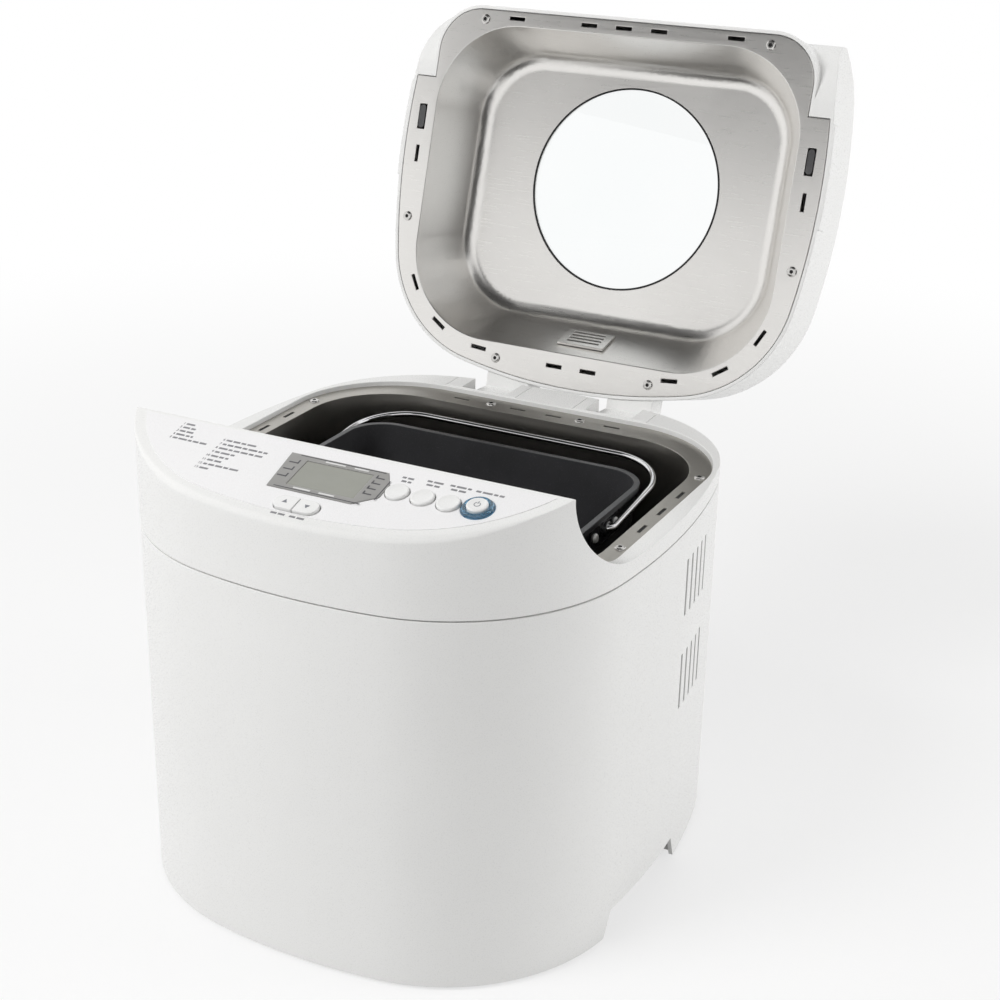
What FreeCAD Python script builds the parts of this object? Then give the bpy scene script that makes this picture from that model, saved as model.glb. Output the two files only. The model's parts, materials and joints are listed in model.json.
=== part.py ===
import FreeCAD, Part
import math
import os
import re
import Sketcher

# Bread machine. X to the right, Y to the back, Z up, in millimetres.
# It is drawn about the middle of the housing and then moved forward, so that
# the origin is on the table under the middle of the whole with its lid open.

SIZES = {
    # housing outline in plan, eight tangent arcs
    "body_half_width": 162,
    "body_front": 178.8,
    "body_rear": 178,
    "widest_y": -8.5,
    "front_radius": 354,
    "side_radius": 496,
    "rear_radius": 400,
    "front_corner": 121,
    "rear_corner": 100,
    "shell_wall": 3,
    # heights of the housing
    "foot_height": 4,
    "skirt_gap": 2,
    "seam_height": 240,
    "seam_gap": 0.8,
    "rim_band": 12,
    "tip_rise": 52,
    "bed_drop": 4,
    "deck_wall": 3,
    "lip_depth": 8,
    "lip_wall": 2,
    "lip_root": 3,
    "slip_fit": 0.2,
    # base, hand-holds and vents
    "base_wall": 3,
    "ledge_width": 10,
    "hand_front": 66,
    "hand_rear": 24,
    "hand_height": 19,
    "hand_flare": 8,
    "hand_depth": 24,
    "pocket_wall": 2,
    "foot_radius": 9,
    "foot_stem": 4,
    "foot_inset_x": 62,
    "foot_inset_y": 56,
    "vent_first_y": 22,
    "vent_pitch": 10,
    "vent_width": 3,
    "vent_length": 38,
    "vent_low": 116,
    "vent_high": 181,
    "vent_count": 5,
    "inlet_radius": 7,
    "inlet_bore": 3.6,
    "inlet_height": 40,
    "inlet_collar": 3,
    # control panel: distances s run down the slope from its back edge
    "panel_depth": 67.8,
    "panel_slope": 15,
    "film_border": 7,
    "film_start": 3,
    "film_wall": 0.4,
    "screen_gap": 42.05,
    "screen_s": 28.5,
    "screen_half_x": 21.75,
    "screen_half_s": 11.5,
    "screen_rise": 0.6,
    "bezel_side": 13,
    "bezel_edge": 4.5,
    "bezel_cut": 6,
    "bezel_wall": 1,
    "button_radius": 6.8,
    "button_gap": 0.3,
    "button_rise": 2.2,
    "button_rim": 1.4,
    "button_skirt": 0.9,
    "button_stem": 8,
    "button_travel": 1,
    "button_row": 48.8,
    "button_pitch": 15.9,
    "button_s": 27,
    "start_inset": 62.9,
    "start_s": 25.5,
    "start_radius": 6.2,
    "start_rise": 3.8,
    "ring_wall": 2.4,
    "ring_rise": 2.6,
    "ring_flange": 0.7,
    "arrow_shift": 4.75,
    "arrow_s": 56,
    "arrow_half_x": 14,
    "arrow_half_s": 5.5,
    "arrow_split": 0.6,
    "board_wall": 1.6,
    "board_drop": 12.4,
    "board_start": 10,
    "board_end": 37,
    "board_edge": 16,
    "board_tongue": 18,
    "switch_half": 3,
    "post_radius": 3.2,
    "post_inset": 9.6,
    "small_screw": 1.2,
    # oven seat, oven chamber and its fittings
    "rim_side": 11.5,
    "rim_back": 30.5,
    "seat_front_corner": 38,
    "seat_rear_corner": 75,
    "seat_fit": 0.5,
    "sheet": 1,
    "flange_side": 13.5,
    "flange_front": 21,
    "flange_back": 21.5,
    "oven_front_corner": 40,
    "oven_rear_corner": 58,
    "oven_floor": 66,
    "floor_hole": 7.5,
    "oven_screw_y": 62,
    "oven_screw_x": 34,
    "slot_length": 12,
    "slot_width": 2.4,
    "oven_slot_pitch": 30,
    "oven_slot_near": 13.7,
    "oven_slot_far": 57.5,
    "element_radius": 3.25,
    "element_inset": 10,
    "element_rise": 29,
    "element_bend": 30,
    "element_rear_bend": 48,
    "element_leg_x": 25,
    "element_tail": 14,
    "element_turn": 8,
    "seal_wall": 3,
    "rest_radius": 3,
    "sensor_radius": 3,
    "sensor_flange": 7.2,
    "sensor_rise": 84,
    "sensor_y": 60,
    "sensor_reach": 16,
    # pan
    "pan_end_gap": 29,
    "pan_side_gap": 34,
    "pan_drop": 8,
    "pan_stand": 26,
    "pan_wall": 1.6,
    "pan_floor": 2,
    "pan_rim_width": 2.4,
    "pan_rim_height": 4,
    "pan_taper": 8,
    "pan_corner": 26,
    "foot_ring_radius": 36,
    "foot_ring_wall": 7,
    "seat_wall": 5.7,
    "seat_ledge": 4,
    "seat_height": 14,
    "rest_gap": 0.3,
    "run_gap": 0.05,
    "bush_radius": 9,
    "bush_flange": 5,
    "bush_rise": 4,
    "seal_height": 1.2,
    "spindle_radius": 4,
    "coupling_radius": 17,
    "coupling_wall": 5,
    "lug_radius": 12,
    "lug_length": 7,
    "lug_width": 6,
    "lug_height": 8,
    "paddle_hub": 9,
    "paddle_height": 20,
    "paddle_reach": 48,
    "paddle_wall": 4,
    "paddle_tip": 14,
    "paddle_crest": 25,
    "paddle_crest_x": 14.4,
    "wire_radius": 2,
    "bail_drop": 10,
    "bail_reach": 97,
    "bail_bend": 40,
    "bail_end_bend": 5,
    "bail_fold": 6,
    "bracket_wall": 1.6,
    "bracket_half_y": 21,
    "bracket_height": 14,
    "bracket_boss": 5,
    "boss_reach": 2,
    "rivet_spacing": 30,
    "rivet_radius": 3.2,
    "rivet_head": 1.6,
    "rivet_shank": 1.5,
    # drive
    "chassis_height": 40,
    "chassis_wall": 2,
    "chassis_inset": 78,
    "chassis_corner": 32,
    "chassis_back": 84,
    "chassis_front": 26,
    "chassis_post": 6,
    "chassis_post_inset": 14,
    "chassis_post_back": 70,
    "chassis_post_front": 24,
    "shaft_radius": 5,
    "shaft_hole": 7,
    "bearing_radius": 12,
    "bearing_flange": 18,
    "large_pulley_radius": 55,
    "small_pulley_radius": 9,
    "wheel_holes": 6,
    "wheel_hole_reach": 32,
    "wheel_hole_radius": 12,
    "pulley_flange": 3,
    "pulley_cheek": 1.5,
    "pulley_height": 14,
    "pulley_bottom": 20,
    "belt_wall": 2.5,
    "belt_gap": 0.3,
    "motor_radius": 30,
    "motor_height": 63,
    "motor_setback": 42,
    "motor_shaft_radius": 3,
    "fan_radius": 24,
    "fan_height": 8,
    "fan_gap": 3,
    "fan_blades": 8,
    "capacitor_radius": 16,
    "capacitor_height": 46,
    "capacitor_inset": 50,
    "capacitor_y": -70,
    "power_half_x": 26,
    "power_half_y": 48,
    "power_inset": 56,
    "power_stand": 10,
    "transformer_half": 16,
    "transformer_height": 30,
    "core_height": 21,
    "coil_half": 20.8,
    # screws
    "screw_radius": 1.6,
    "screw_head": 3.6,
    "screw_head_height": 1.2,
    "screw_length": 9,
    "screw_socket": 1.3,
    # lid, in its closed place
    "lid_gap": 1.4,
    "lid_front_gap": 0.8,
    "lid_crown": 2,
    "lid_wall": 2.5,
    "lid_rear_corner": 88,
    "lid_corner": 34,
    "lid_corner_gap": 3,
    "lid_edge_round": 5,
    "lid_screw_x": 108,
    "lid_screw_front": 9.8,
    "lid_screw_side": 13.1,
    "lid_screw_y": 46.5,
    "lid_screw_rear_x": 60,
    "lid_screw_rear": 15.6,
    "slot_front": 7.6,
    "slot_side": 13.4,
    "slot_rear": 17,
    "slot_corner": 13,
    "slot_inner_x": 26.5,
    "slot_outer_x": 83,
    "slot_rear_x": 13.3,
    "catch_y": -27,
    "catch_length": 18,
    "catch_width": 5.8,
    "liner_fit": 0.3,
    "liner_side_land": 23.5,
    "liner_front_land": 13,
    "liner_rear_land": 27,
    "liner_front_corner": 60,
    "liner_rear_corner": 66,
    "liner_draw_x": 20,
    "liner_draw_front": 14,
    "liner_draw_rear": 24,
    "liner_round": 13,
    "window_radius": 72.6,
    "window_y": 4.7,
    "glass_wall": 3,
    "glass_lap": 5,
    "gasket_wall": 3,
    "louvre_half_x": 18,
    "louvre_half_z": 11,
    "louvre_wall": 2,
    "louvre_count": 4,
    "louvre_slit_half": 12.6,
    "louvre_slit": 1.9,
    "louvre_share": 0.44,
    "grip_front": 53,
    "grip_rear": 17,
    "grip_depth": 1.2,
    "grip_height": 12,
    "open_angle": 106.68,
    # hinge
    "hinge_inset": 9,
    "hinge_drop": 14,
    "lid_rear_gap": 15,
    "arm_inset": 131,
    "arm_width": 34,
    "arm_gap": 0.4,
    "knuckle_radius": 6,
    "knuckle_gap": 1,
    "arm_rise": 22,
    "pin_radius": 2.5,
    "ear_inner": 8.4,
    "ear_outer": 12,
    "notch_front": 19,
    "mount_floor": 4.6,
    # how far the origin lies behind the middle of the housing
    "origin_setback": 68,
}

# Sizes that follow from the ones above.
FORMULAS = {
    "rim": "seam_height + rim_band",
    "top_edge": "seam_height + seam_gap",
    "tip": "rim + tip_rise",
    "bed": "rim - bed_drop",
    "base_top": "foot_height + base_wall",
    "edge_y": "panel_depth - body_front",
    "panel_thick": "shell_wall / cos(panel_slope)",
    "start_x": "body_half_width - start_inset",
    "button_first_x": "start_x - button_row",
    "screen_x": "button_first_x - screen_gap",
    "arrow_x": "screen_x - arrow_shift",
    "seat_half": "body_half_width - rim_side",
    "seat_rear": "body_rear - rim_back",
    "oven_half": "seat_half - flange_side",
    "oven_front": "edge_y + flange_front",
    "oven_rear": "seat_rear - flange_back",
    "oven_y": "(oven_front + oven_rear) / 2",
    "element_z": "oven_floor + element_rise",
    "pan_half_x": "oven_half - pan_end_gap",
    "pan_half_y": "(oven_rear - oven_front) / 2 - pan_side_gap",
    "pan_top": "bed - pan_drop",
    "pan_bottom": "oven_floor + pan_stand",
    "pan_wall_x": "pan_half_x - pan_rim_width",
    "pan_wall_y": "pan_half_y - pan_rim_width",
    "bail_z": "pan_top - bail_drop",
    "rivet_z": "pan_top - pan_rim_height - bracket_height / 2",
    "bracket_x": "pan_wall_x + slip_fit",
    "bail_x": "bracket_x + bracket_wall + boss_reach + wire_radius + run_gap * 8",
    "seat_radius": "foot_ring_radius + rest_gap",
    "drive_top": "oven_floor + seat_ledge + slip_fit * 10",
    "coupling_low": "drive_top + lug_height + rest_gap * 3",
    "spindle_top": "pan_bottom + pan_floor + paddle_height",
    "paddle_low": "pan_bottom + bush_rise + seal_height + rest_gap",
    "chassis_top": "chassis_height + chassis_wall",
    "chassis_half_x": "body_half_width - chassis_inset",
    "chassis_post_x": "chassis_half_x - chassis_post_inset",
    "power_x": "body_half_width - power_inset",
    "motor_y": "oven_front - motor_setback - sheet",
    "motor_top": "chassis_top + motor_height",
    "capacitor_x": "body_half_width - capacitor_inset",
    "lid_bottom": "rim + lid_gap",
    "lid_top": "tip + lid_crown",
    "lid_front": "edge_y + lid_front_gap",
    "cheek_y": "edge_y + tip_rise",
    "lid_step_x": "seat_half - lid_corner_gap * 2",
    "hinge_y": "body_rear - hinge_inset",
    "hinge_z": "rim - hinge_drop",
    "lid_rear": "hinge_y - lid_rear_gap",
    "liner_top": "lid_top - lid_wall - glass_wall",
    "liner_half": "body_half_width - liner_side_land",
    "liner_front": "lid_front + liner_front_land",
    "liner_rear": "lid_rear - liner_rear_land",
    "arm_inner_x": "body_half_width - arm_inset",
    "arm_outer_x": "arm_inner_x + arm_width",
    "mount_inner_x": "arm_inner_x - arm_gap - ear_inner",
    "mount_outer_x": "arm_outer_x + arm_gap + ear_outer",
    "mount_front": "hinge_y - notch_front",
    "mount_low": "hinge_z - knuckle_radius - knuckle_gap - mount_floor",
}

os.makedirs("parts", exist_ok=True)
doc = FreeCAD.newDocument("bread_machine")
sheet = doc.addObject("Spreadsheet::Sheet", "dims")
for row, (name, number) in enumerate(SIZES.items(), start=1):
    sheet.set(f"A{row}", name)
    sheet.set(f"B{row}", str(number))
    sheet.setAlias(f"B{row}", name)
for row, (name, formula) in enumerate(FORMULAS.items(), start=len(SIZES) + 1):
    sheet.set(f"A{row}", name)
    sheet.set(f"B{row}", "=" + formula)
    sheet.setAlias(f"B{row}", name)
doc.recompute()

nodes = {}
SIDES = (-1, 1)
FAR = 400
TOUCH = 0.01
# Angles of the slots round the lid's rear corners, in degrees.
SLOT_TURNS = (5, 34, 62)


# Formulas, placing and plain solids

def link(text):
    # A formula's names become references to the sheet's cells.
    def cell(match):
        word = match.group()
        known = word in SIZES or word in FORMULAS
        return "dims." + word if known else word
    return re.sub(r"[a-z_]+", cell, str(text))


def value(text):
    return float(sheet.evalExpression(link(text)))


def bind(obj, **formulas):
    for name, text in formulas.items():
        obj.setExpression(name, link(text))
    return obj


def move(obj, x=0, y=0, z=0):
    for axis, text in (("x", x), ("y", y), ("z", z)):
        obj.setExpression("Placement.Base." + axis, link(text))
    return obj


def turn(obj, axis, degrees):
    obj.Placement = FreeCAD.Placement(FreeCAD.Vector(), FreeCAD.Rotation(axis, degrees))
    return obj


def box(name, x, y, z):
    # Each of x, y and z is a pair of formulas, low and high.
    obj = doc.addObject("Part::Box", name)
    bind(obj, Length=f"({x[1]}) - ({x[0]})", Width=f"({y[1]}) - ({y[0]})", Height=f"({z[1]}) - ({z[0]})")
    return move(obj, x[0], y[0], z[0])


def rod(name, radius, x, y, z):
    obj = doc.addObject("Part::Cylinder", name)
    bind(obj, Radius=radius, Height=f"({z[1]}) - ({z[0]})")
    return move(obj, x, y, z[0])


def rod_x(name, radius, x, y, z):
    obj = turn(doc.addObject("Part::Cylinder", name), FreeCAD.Vector(0, 1, 0), 90)
    bind(obj, Radius=radius, Height=f"({x[1]}) - ({x[0]})")
    return move(obj, x[0], y, z)


def rod_y(name, radius, x, y, z):
    obj = turn(doc.addObject("Part::Cylinder", name), FreeCAD.Vector(1, 0, 0), -90)
    bind(obj, Radius=radius, Height=f"({y[1]}) - ({y[0]})")
    return move(obj, x, y[0], z)


def cut(name, base, *tools):
    obj = doc.addObject("Part::Cut", name)
    obj.Base = base
    obj.Tool = tools[0] if len(tools) == 1 else join(name + "_tool", *tools)
    return obj


def join(name, *shapes):
    obj = doc.addObject("Part::MultiFuse", name)
    obj.Shapes = list(shapes)
    return obj


def common(name, *shapes):
    obj = doc.addObject("Part::MultiCommon", name)
    obj.Shapes = list(shapes)
    return obj


def group(name, *shapes):
    obj = doc.addObject("Part::Compound", name)
    obj.Links = list(shapes)
    return obj


def mirrored(name, source):
    obj = doc.addObject("Part::Mirroring", name)
    obj.Source = source
    obj.Normal = FreeCAD.Vector(1, 0, 0)
    return obj


def node(name, obj):
    obj.Label = name
    nodes[name] = obj
    return obj


# Sketches

def pin(sketch, geo, point, x, y):
    for kind, text in (("DistanceX", x), ("DistanceY", y)):
        number = sketch.addConstraint(Sketcher.Constraint(kind, -1, 1, geo, point, value(text)))
        sketch.setExpression(f"Constraints[{number}]", link(text))


def fix_radius(sketch, geo, text):
    number = sketch.addConstraint(Sketcher.Constraint("Radius", geo, value(text)))
    sketch.setExpression(f"Constraints[{number}]", link(text))


def arc(sketch, centre, radius, start, end):
    circle = Part.Circle(FreeCAD.Vector(centre[0], centre[1], 0), FreeCAD.Vector(0, 0, 1), radius)
    return sketch.addGeometry(Part.ArcOfCircle(circle, start, end), False)


def line(sketch, start, end):
    low = FreeCAD.Vector(start[0], start[1], 0)
    high = FreeCAD.Vector(end[0], end[1], 0)
    return sketch.addGeometry(Part.LineSegment(low, high), False)


def tie_round(sketch, chain):
    # Each piece of the chain runs smoothly into the next, and the last into the first.
    for first, second in zip(chain, chain[1:] + chain[:1]):
        sketch.addConstraint(Sketcher.Constraint("Tangent", first, 2, second, 1))


def meeting_centre(first, first_radius, second, second_radius, upward):
    # The centre of the corner arc between two larger arcs, given the distances to their centres.
    dx = second[0] - first[0]
    dy = second[1] - first[1]
    span = math.hypot(dx, dy)
    along = (first_radius ** 2 - second_radius ** 2 + span ** 2) / (2 * span)
    across = math.sqrt(first_radius ** 2 - along ** 2)
    middle = (first[0] + along * dx / span, first[1] + along * dy / span)
    options = []
    for sign in SIDES:
        options.append((middle[0] - sign * across * dy / span, middle[1] + sign * across * dx / span))
    return max(options, key=lambda point: point[1] * upward)


def corner_centre(rear, corner, end_radius, end_y):
    sign = 1 if rear else -1
    end = (0, value(end_y) - sign * value(end_radius))
    side = (value("body_half_width - side_radius"), value("widest_y"))
    reach = value(end_radius) - value(corner)
    return meeting_centre(end, reach, side, value("side_radius") - value(corner), sign)


def outline(sketch, inset="0", rear="body_rear", rear_corner="rear_corner"):
    front_centre = (0, value("front_radius - body_front"))
    rear_centre = (0, value(f"({rear}) - rear_radius"))
    side_x = value("body_half_width - side_radius")
    side_y = value("widest_y")
    near = corner_centre(False, "front_corner", "front_radius", "-body_front")
    back = corner_centre(True, rear_corner, "rear_radius", rear)

    def angle(start, end):
        return math.atan2(end[1] - start[1], end[0] - start[0])

    front_turn = angle(front_centre, near)
    near_turn = angle((side_x, side_y), near)
    back_turn = angle((side_x, side_y), back)
    rear_turn = angle(rear_centre, back)
    half_turn = math.pi
    inner = value(inset)
    arcs = [
        (front_centre, "front_radius", half_turn * -1 - front_turn, front_turn),
        (near, "front_corner", front_turn, near_turn),
        ((side_x, side_y), "side_radius", near_turn, back_turn),
        (back, rear_corner, back_turn, rear_turn),
        (rear_centre, "rear_radius", rear_turn, half_turn - rear_turn),
        ((-back[0], back[1]), rear_corner, half_turn - rear_turn, half_turn - back_turn),
        ((-side_x, side_y), "side_radius", half_turn - back_turn, half_turn - near_turn),
        ((-near[0], near[1]), "front_corner", half_turn - near_turn, half_turn - front_turn),
    ]
    chain = []
    for centre, radius, start, end in arcs:
        chain.append(arc(sketch, centre, value(radius) - inner, start, end))
    tie_round(sketch, chain)
    for geo, (centre, radius, start, end) in zip(chain, arcs):
        fix_radius(sketch, geo, f"{radius} - ({inset})")
    pin(sketch, chain[0], 3, "0", "front_radius - body_front")
    pin(sketch, chain[4], 3, "0", f"({rear}) - rear_radius")
    pin(sketch, chain[2], 3, "body_half_width - side_radius", "widest_y")
    pin(sketch, chain[6], 3, "side_radius - body_half_width", "widest_y")


def rounded(sketch, half, front, rear, front_corner, rear_corner):
    width, low, high = value(half), value(front), value(rear)
    near, back = value(front_corner), value(rear_corner)
    quarter = math.pi / 2
    chain = [
        line(sketch, (near - width, low), (width - near, low)),
        arc(sketch, (width - near, low + near), near, -quarter, 0),
        line(sketch, (width, low + near), (width, high - back)),
        arc(sketch, (width - back, high - back), back, 0, quarter),
        line(sketch, (width - back, high), (back - width, high)),
        arc(sketch, (back - width, high - back), back, quarter, 2 * quarter),
        line(sketch, (-width, high - back), (-width, low + near)),
        arc(sketch, (near - width, low + near), near, 2 * quarter, 3 * quarter),
    ]
    tie_round(sketch, chain)
    for geo, radius in ((1, front_corner), (3, rear_corner), (5, rear_corner), (7, front_corner)):
        fix_radius(sketch, chain[geo], radius)
    for geo, kind in ((0, "Horizontal"), (2, "Vertical"), (4, "Horizontal"), (6, "Vertical")):
        sketch.addConstraint(Sketcher.Constraint(kind, chain[geo]))
    for geo, kind, text in ((0, "DistanceY", front), (2, "DistanceX", half),
                            (4, "DistanceY", rear), (6, "DistanceX", f"-({half})")):
        number = sketch.addConstraint(Sketcher.Constraint(kind, -1, 1, chain[geo], 1, value(text)))
        sketch.setExpression(f"Constraints[{number}]", link(text))


def polygon(sketch, points):
    places = [(value(x), value(y)) for x, y in points]
    chain = []
    for start, end in zip(places, places[1:] + places[:1]):
        chain.append(line(sketch, start, end))
    for first, second in zip(chain, chain[1:] + chain[:1]):
        sketch.addConstraint(Sketcher.Constraint("Coincident", first, 2, second, 1))
    for geo, (x, y) in zip(chain, points):
        pin(sketch, geo, 1, x, y)


def trail(sketch, runs, bends):
    # Straight runs, each a pair of points, joined by round bends of the given radii.
    chain = []
    for (start, end) in runs:
        geo = line(sketch, (value(start[0]), value(start[1])), (value(end[0]), value(end[1])))
        pin(sketch, geo, 1, *start)
        pin(sketch, geo, 2, *end)
        chain.append(geo)
    for first, second, radius in zip(chain, chain[1:], bends):
        before = sketch.Geometry[first]
        after = sketch.Geometry[second]
        way = (before.EndPoint - before.StartPoint).normalize()
        next_way = (after.EndPoint - after.StartPoint).normalize()
        left = way.x * next_way.y - way.y * next_way.x > 0
        side = 1 if left else -1
        centre = before.EndPoint + FreeCAD.Vector(-way.y, way.x, 0) * side * value(radius)
        start = math.atan2(before.EndPoint.y - centre.y, before.EndPoint.x - centre.x)
        end = math.atan2(after.StartPoint.y - centre.y, after.StartPoint.x - centre.x)
        if not left:
            start, end = end, start
        geo = arc(sketch, (centre.x, centre.y), value(radius), start, end)
        near, far = (1, 2) if left else (2, 1)
        sketch.addConstraint(Sketcher.Constraint("Coincident", geo, near, first, 2))
        sketch.addConstraint(Sketcher.Constraint("Coincident", geo, far, second, 1))
        fix_radius(sketch, geo, radius)


# Solids drawn from sketches

def start_body(name, plane, offset):
    body = doc.addObject("PartDesign::Body", name)
    face = next(item for item in body.Origin.OriginFeatures if item.Role == plane)
    sketch = body.newObject("Sketcher::SketchObject", name + "_sketch")
    sketch.AttachmentSupport = [(face, "")]
    sketch.MapMode = "FlatFace"
    sketch.setExpression("AttachmentOffset.Base.z", link(offset))
    return body, sketch


def pad(body, sketch, length):
    feature = body.newObject("PartDesign::Pad", body.Name + "_pad")
    feature.Profile = sketch
    feature.setExpression("Length", link(length))
    return body


def plan(name, z, inset="0", **rest):
    body, sketch = start_body(name, "XY_Plane", z[0])
    outline(sketch, inset, **rest)
    return pad(body, sketch, f"({z[1]}) - ({z[0]})")


def block(name, z, half, front, rear, front_corner, rear_corner):
    body, sketch = start_body(name, "XY_Plane", z[0])
    rounded(sketch, half, front, rear, front_corner, rear_corner)
    return pad(body, sketch, f"({z[1]}) - ({z[0]})")


def profile(name, x, points):
    # A Y-Z outline drawn out along X.
    body, sketch = start_body(name, "YZ_Plane", x[0])
    polygon(sketch, points)
    return pad(body, sketch, f"({x[1]}) - ({x[0]})")


def plate(name, z, points):
    body, sketch = start_body(name, "XY_Plane", z[0])
    polygon(sketch, points)
    return pad(body, sketch, f"({z[1]}) - ({z[0]})")


def loft(name, sections):
    drawn = []
    for number, (z, args) in enumerate(sections):
        sketch = doc.addObject("Sketcher::SketchObject", f"{name}_section_{number}")
        sketch.setExpression("Placement.Base.z", link(z))
        rounded(sketch, *args)
        drawn.append(sketch)
    obj = doc.addObject("Part::Loft", name)
    obj.Sections = drawn
    obj.Solid = True
    obj.Ruled = True
    return obj


def soften(name, base, radius, chosen):
    doc.recompute()
    obj = doc.addObject("Part::Fillet", name)
    obj.Base = base
    size = value(radius)
    numbered = enumerate(base.Shape.Edges, start=1)
    obj.Edges = [(number, size, size) for number, edge in numbered if chosen(edge)]
    return obj


def sweep(name, radius, path, start, turn_axis, degrees):
    section = turn(doc.addObject("Part::Circle", name + "_section"), turn_axis, degrees)
    bind(section, Radius=radius)
    move(section, *start)
    doc.recompute()
    obj = doc.addObject("Part::Sweep", name)
    obj.Sections = [section]
    obj.Spine = (path, [f"Edge{number + 1}" for number in range(len(path.Shape.Edges))])
    obj.Solid = True
    obj.Frenet = False
    return obj


def screw(name, x, y, z, up, length="screw_length"):
    # Its head's seat is at z, and its shank points up (1) or down (-1).
    head = (f"({z}) - screw_head_height", z) if up > 0 else (z, f"({z}) + screw_head_height")
    shank = (z, f"({z}) + ({length})") if up > 0 else (f"({z}) - ({length})", z)
    socket = (head[0], f"({z}) - screw_head_height / 3")
    if up < 0:
        socket = (f"({z}) + screw_head_height / 3", head[1])
    whole = join(name + "_blank", rod(name + "_head", "screw_head", x, y, head),
                 rod(name + "_shank", "screw_radius", x, y, shank))
    return cut(name, whole, rod(name + "_socket", "screw_socket", x, y, socket))


def screw_holes(name, places, z):
    return [rod(f"{name}_{number}", "screw_radius", x, y, z) for number, (x, y) in enumerate(places)]


# The panel's own frame: X along its back edge, -Y down the slope, Z out of it

def on_panel(obj):
    turn(obj, FreeCAD.Vector(1, 0, 0), value("panel_slope"))
    obj.setExpression("Placement.Rotation.Angle", link("panel_slope"))
    return move(obj, 0, "edge_y", "tip")


# The open lid: the closed lid turned about its hinge

def opened(obj):
    angle = math.radians(-value("open_angle"))
    y, z = value("hinge_y"), value("hinge_z")
    turned_y = y * math.cos(angle) - z * math.sin(angle)
    turned_z = y * math.sin(angle) + z * math.cos(angle)
    base = FreeCAD.Vector(0, y - turned_y, z - turned_z)
    obj.Placement = FreeCAD.Placement(base, FreeCAD.Rotation(FreeCAD.Vector(1, 0, 0), math.degrees(angle)))
    return obj


# Housing shells

def hinge_notch(name):
    right = box(name + "_right", ("mount_inner_x - slip_fit", "mount_outer_x + slip_fit"),
                ("mount_front - slip_fit", f"body_rear + {FAR}"), ("mount_low - slip_fit", f"rim + {FAR}"))
    return join(name, right, mirrored(name + "_left", right))


def lower_housing():
    z = ("skirt_gap", "seam_height")
    wall = cut("lower_wall", plan("lower_outer", z), plan("lower_inner", z, "shell_wall"))
    ledge_z = ("base_top", "base_top + base_wall")
    ledge = cut("lower_ledge", plan("ledge_outer", ledge_z, "shell_wall / 2"),
                plan("ledge_inner", ledge_z, "shell_wall + ledge_width"))
    pocket_x = "body_half_width - hand_depth - pocket_wall - slip_fit"
    room = box("ledge_room", (pocket_x, f"{FAR}"), hand_span("pocket_wall * 2 + hand_flare"),
               ("skirt_gap", "hand_height + pocket_wall * 4"))
    ledge = cut("ledge_cut", ledge, room, mirrored("ledge_room_left", room), *base_screw_holes("ledge_hole"))
    arch = profile("hand_arch", (f"-{FAR}", f"{FAR}"), [
        ("-hand_front - hand_flare", "0"), ("hand_rear + hand_flare", "0"),
        ("hand_rear", "hand_height"), ("-hand_front", "hand_height")])
    vents = []
    for number in range(int(value("vent_count"))):
        y = f"vent_first_y + vent_pitch * {number}"
        for level in ("vent_low", "vent_high"):
            vents.append(box(f"{level}_{number}", (f"-{FAR}", f"{FAR}"), (y, f"{y} + vent_width"),
                             (level, f"{level} + vent_length")))
    inlet = rod_y("inlet_hole", "inlet_radius", 0, ("body_rear - shell_wall * 3", f"body_rear + {FAR}"),
                  "inlet_height")
    body = join("lower_body", wall, ledge)
    node("lower_housing", cut("lower_housing", body, arch, group("vents", *vents), inlet,
                              hinge_notch("low_notch")))


def hand_span(margin):
    return f"-hand_front - ({margin})", f"hand_rear + ({margin})"


def base_screw_places():
    inset = "shell_wall + ledge_width / 2"
    places = [("0", f"-body_front + {inset}"), ("0", f"body_rear - ({inset})")]
    corners = ((False, "front_corner", "front_radius", "-body_front"),
               (True, "rear_corner", "rear_radius", "body_rear"))
    for rear, corner, end_radius, end_y in corners:
        centre = corner_centre(rear, corner, end_radius, end_y)
        reach = value(f"{corner} - ({inset})") * math.sqrt(0.5)
        y = centre[1] + (reach if rear else -reach)
        for side in SIDES:
            places.append((side * (centre[0] + reach), y))
    return places


def base_screw_holes(name):
    return screw_holes(name, base_screw_places(), ("0", "base_top + screw_length"))


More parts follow.
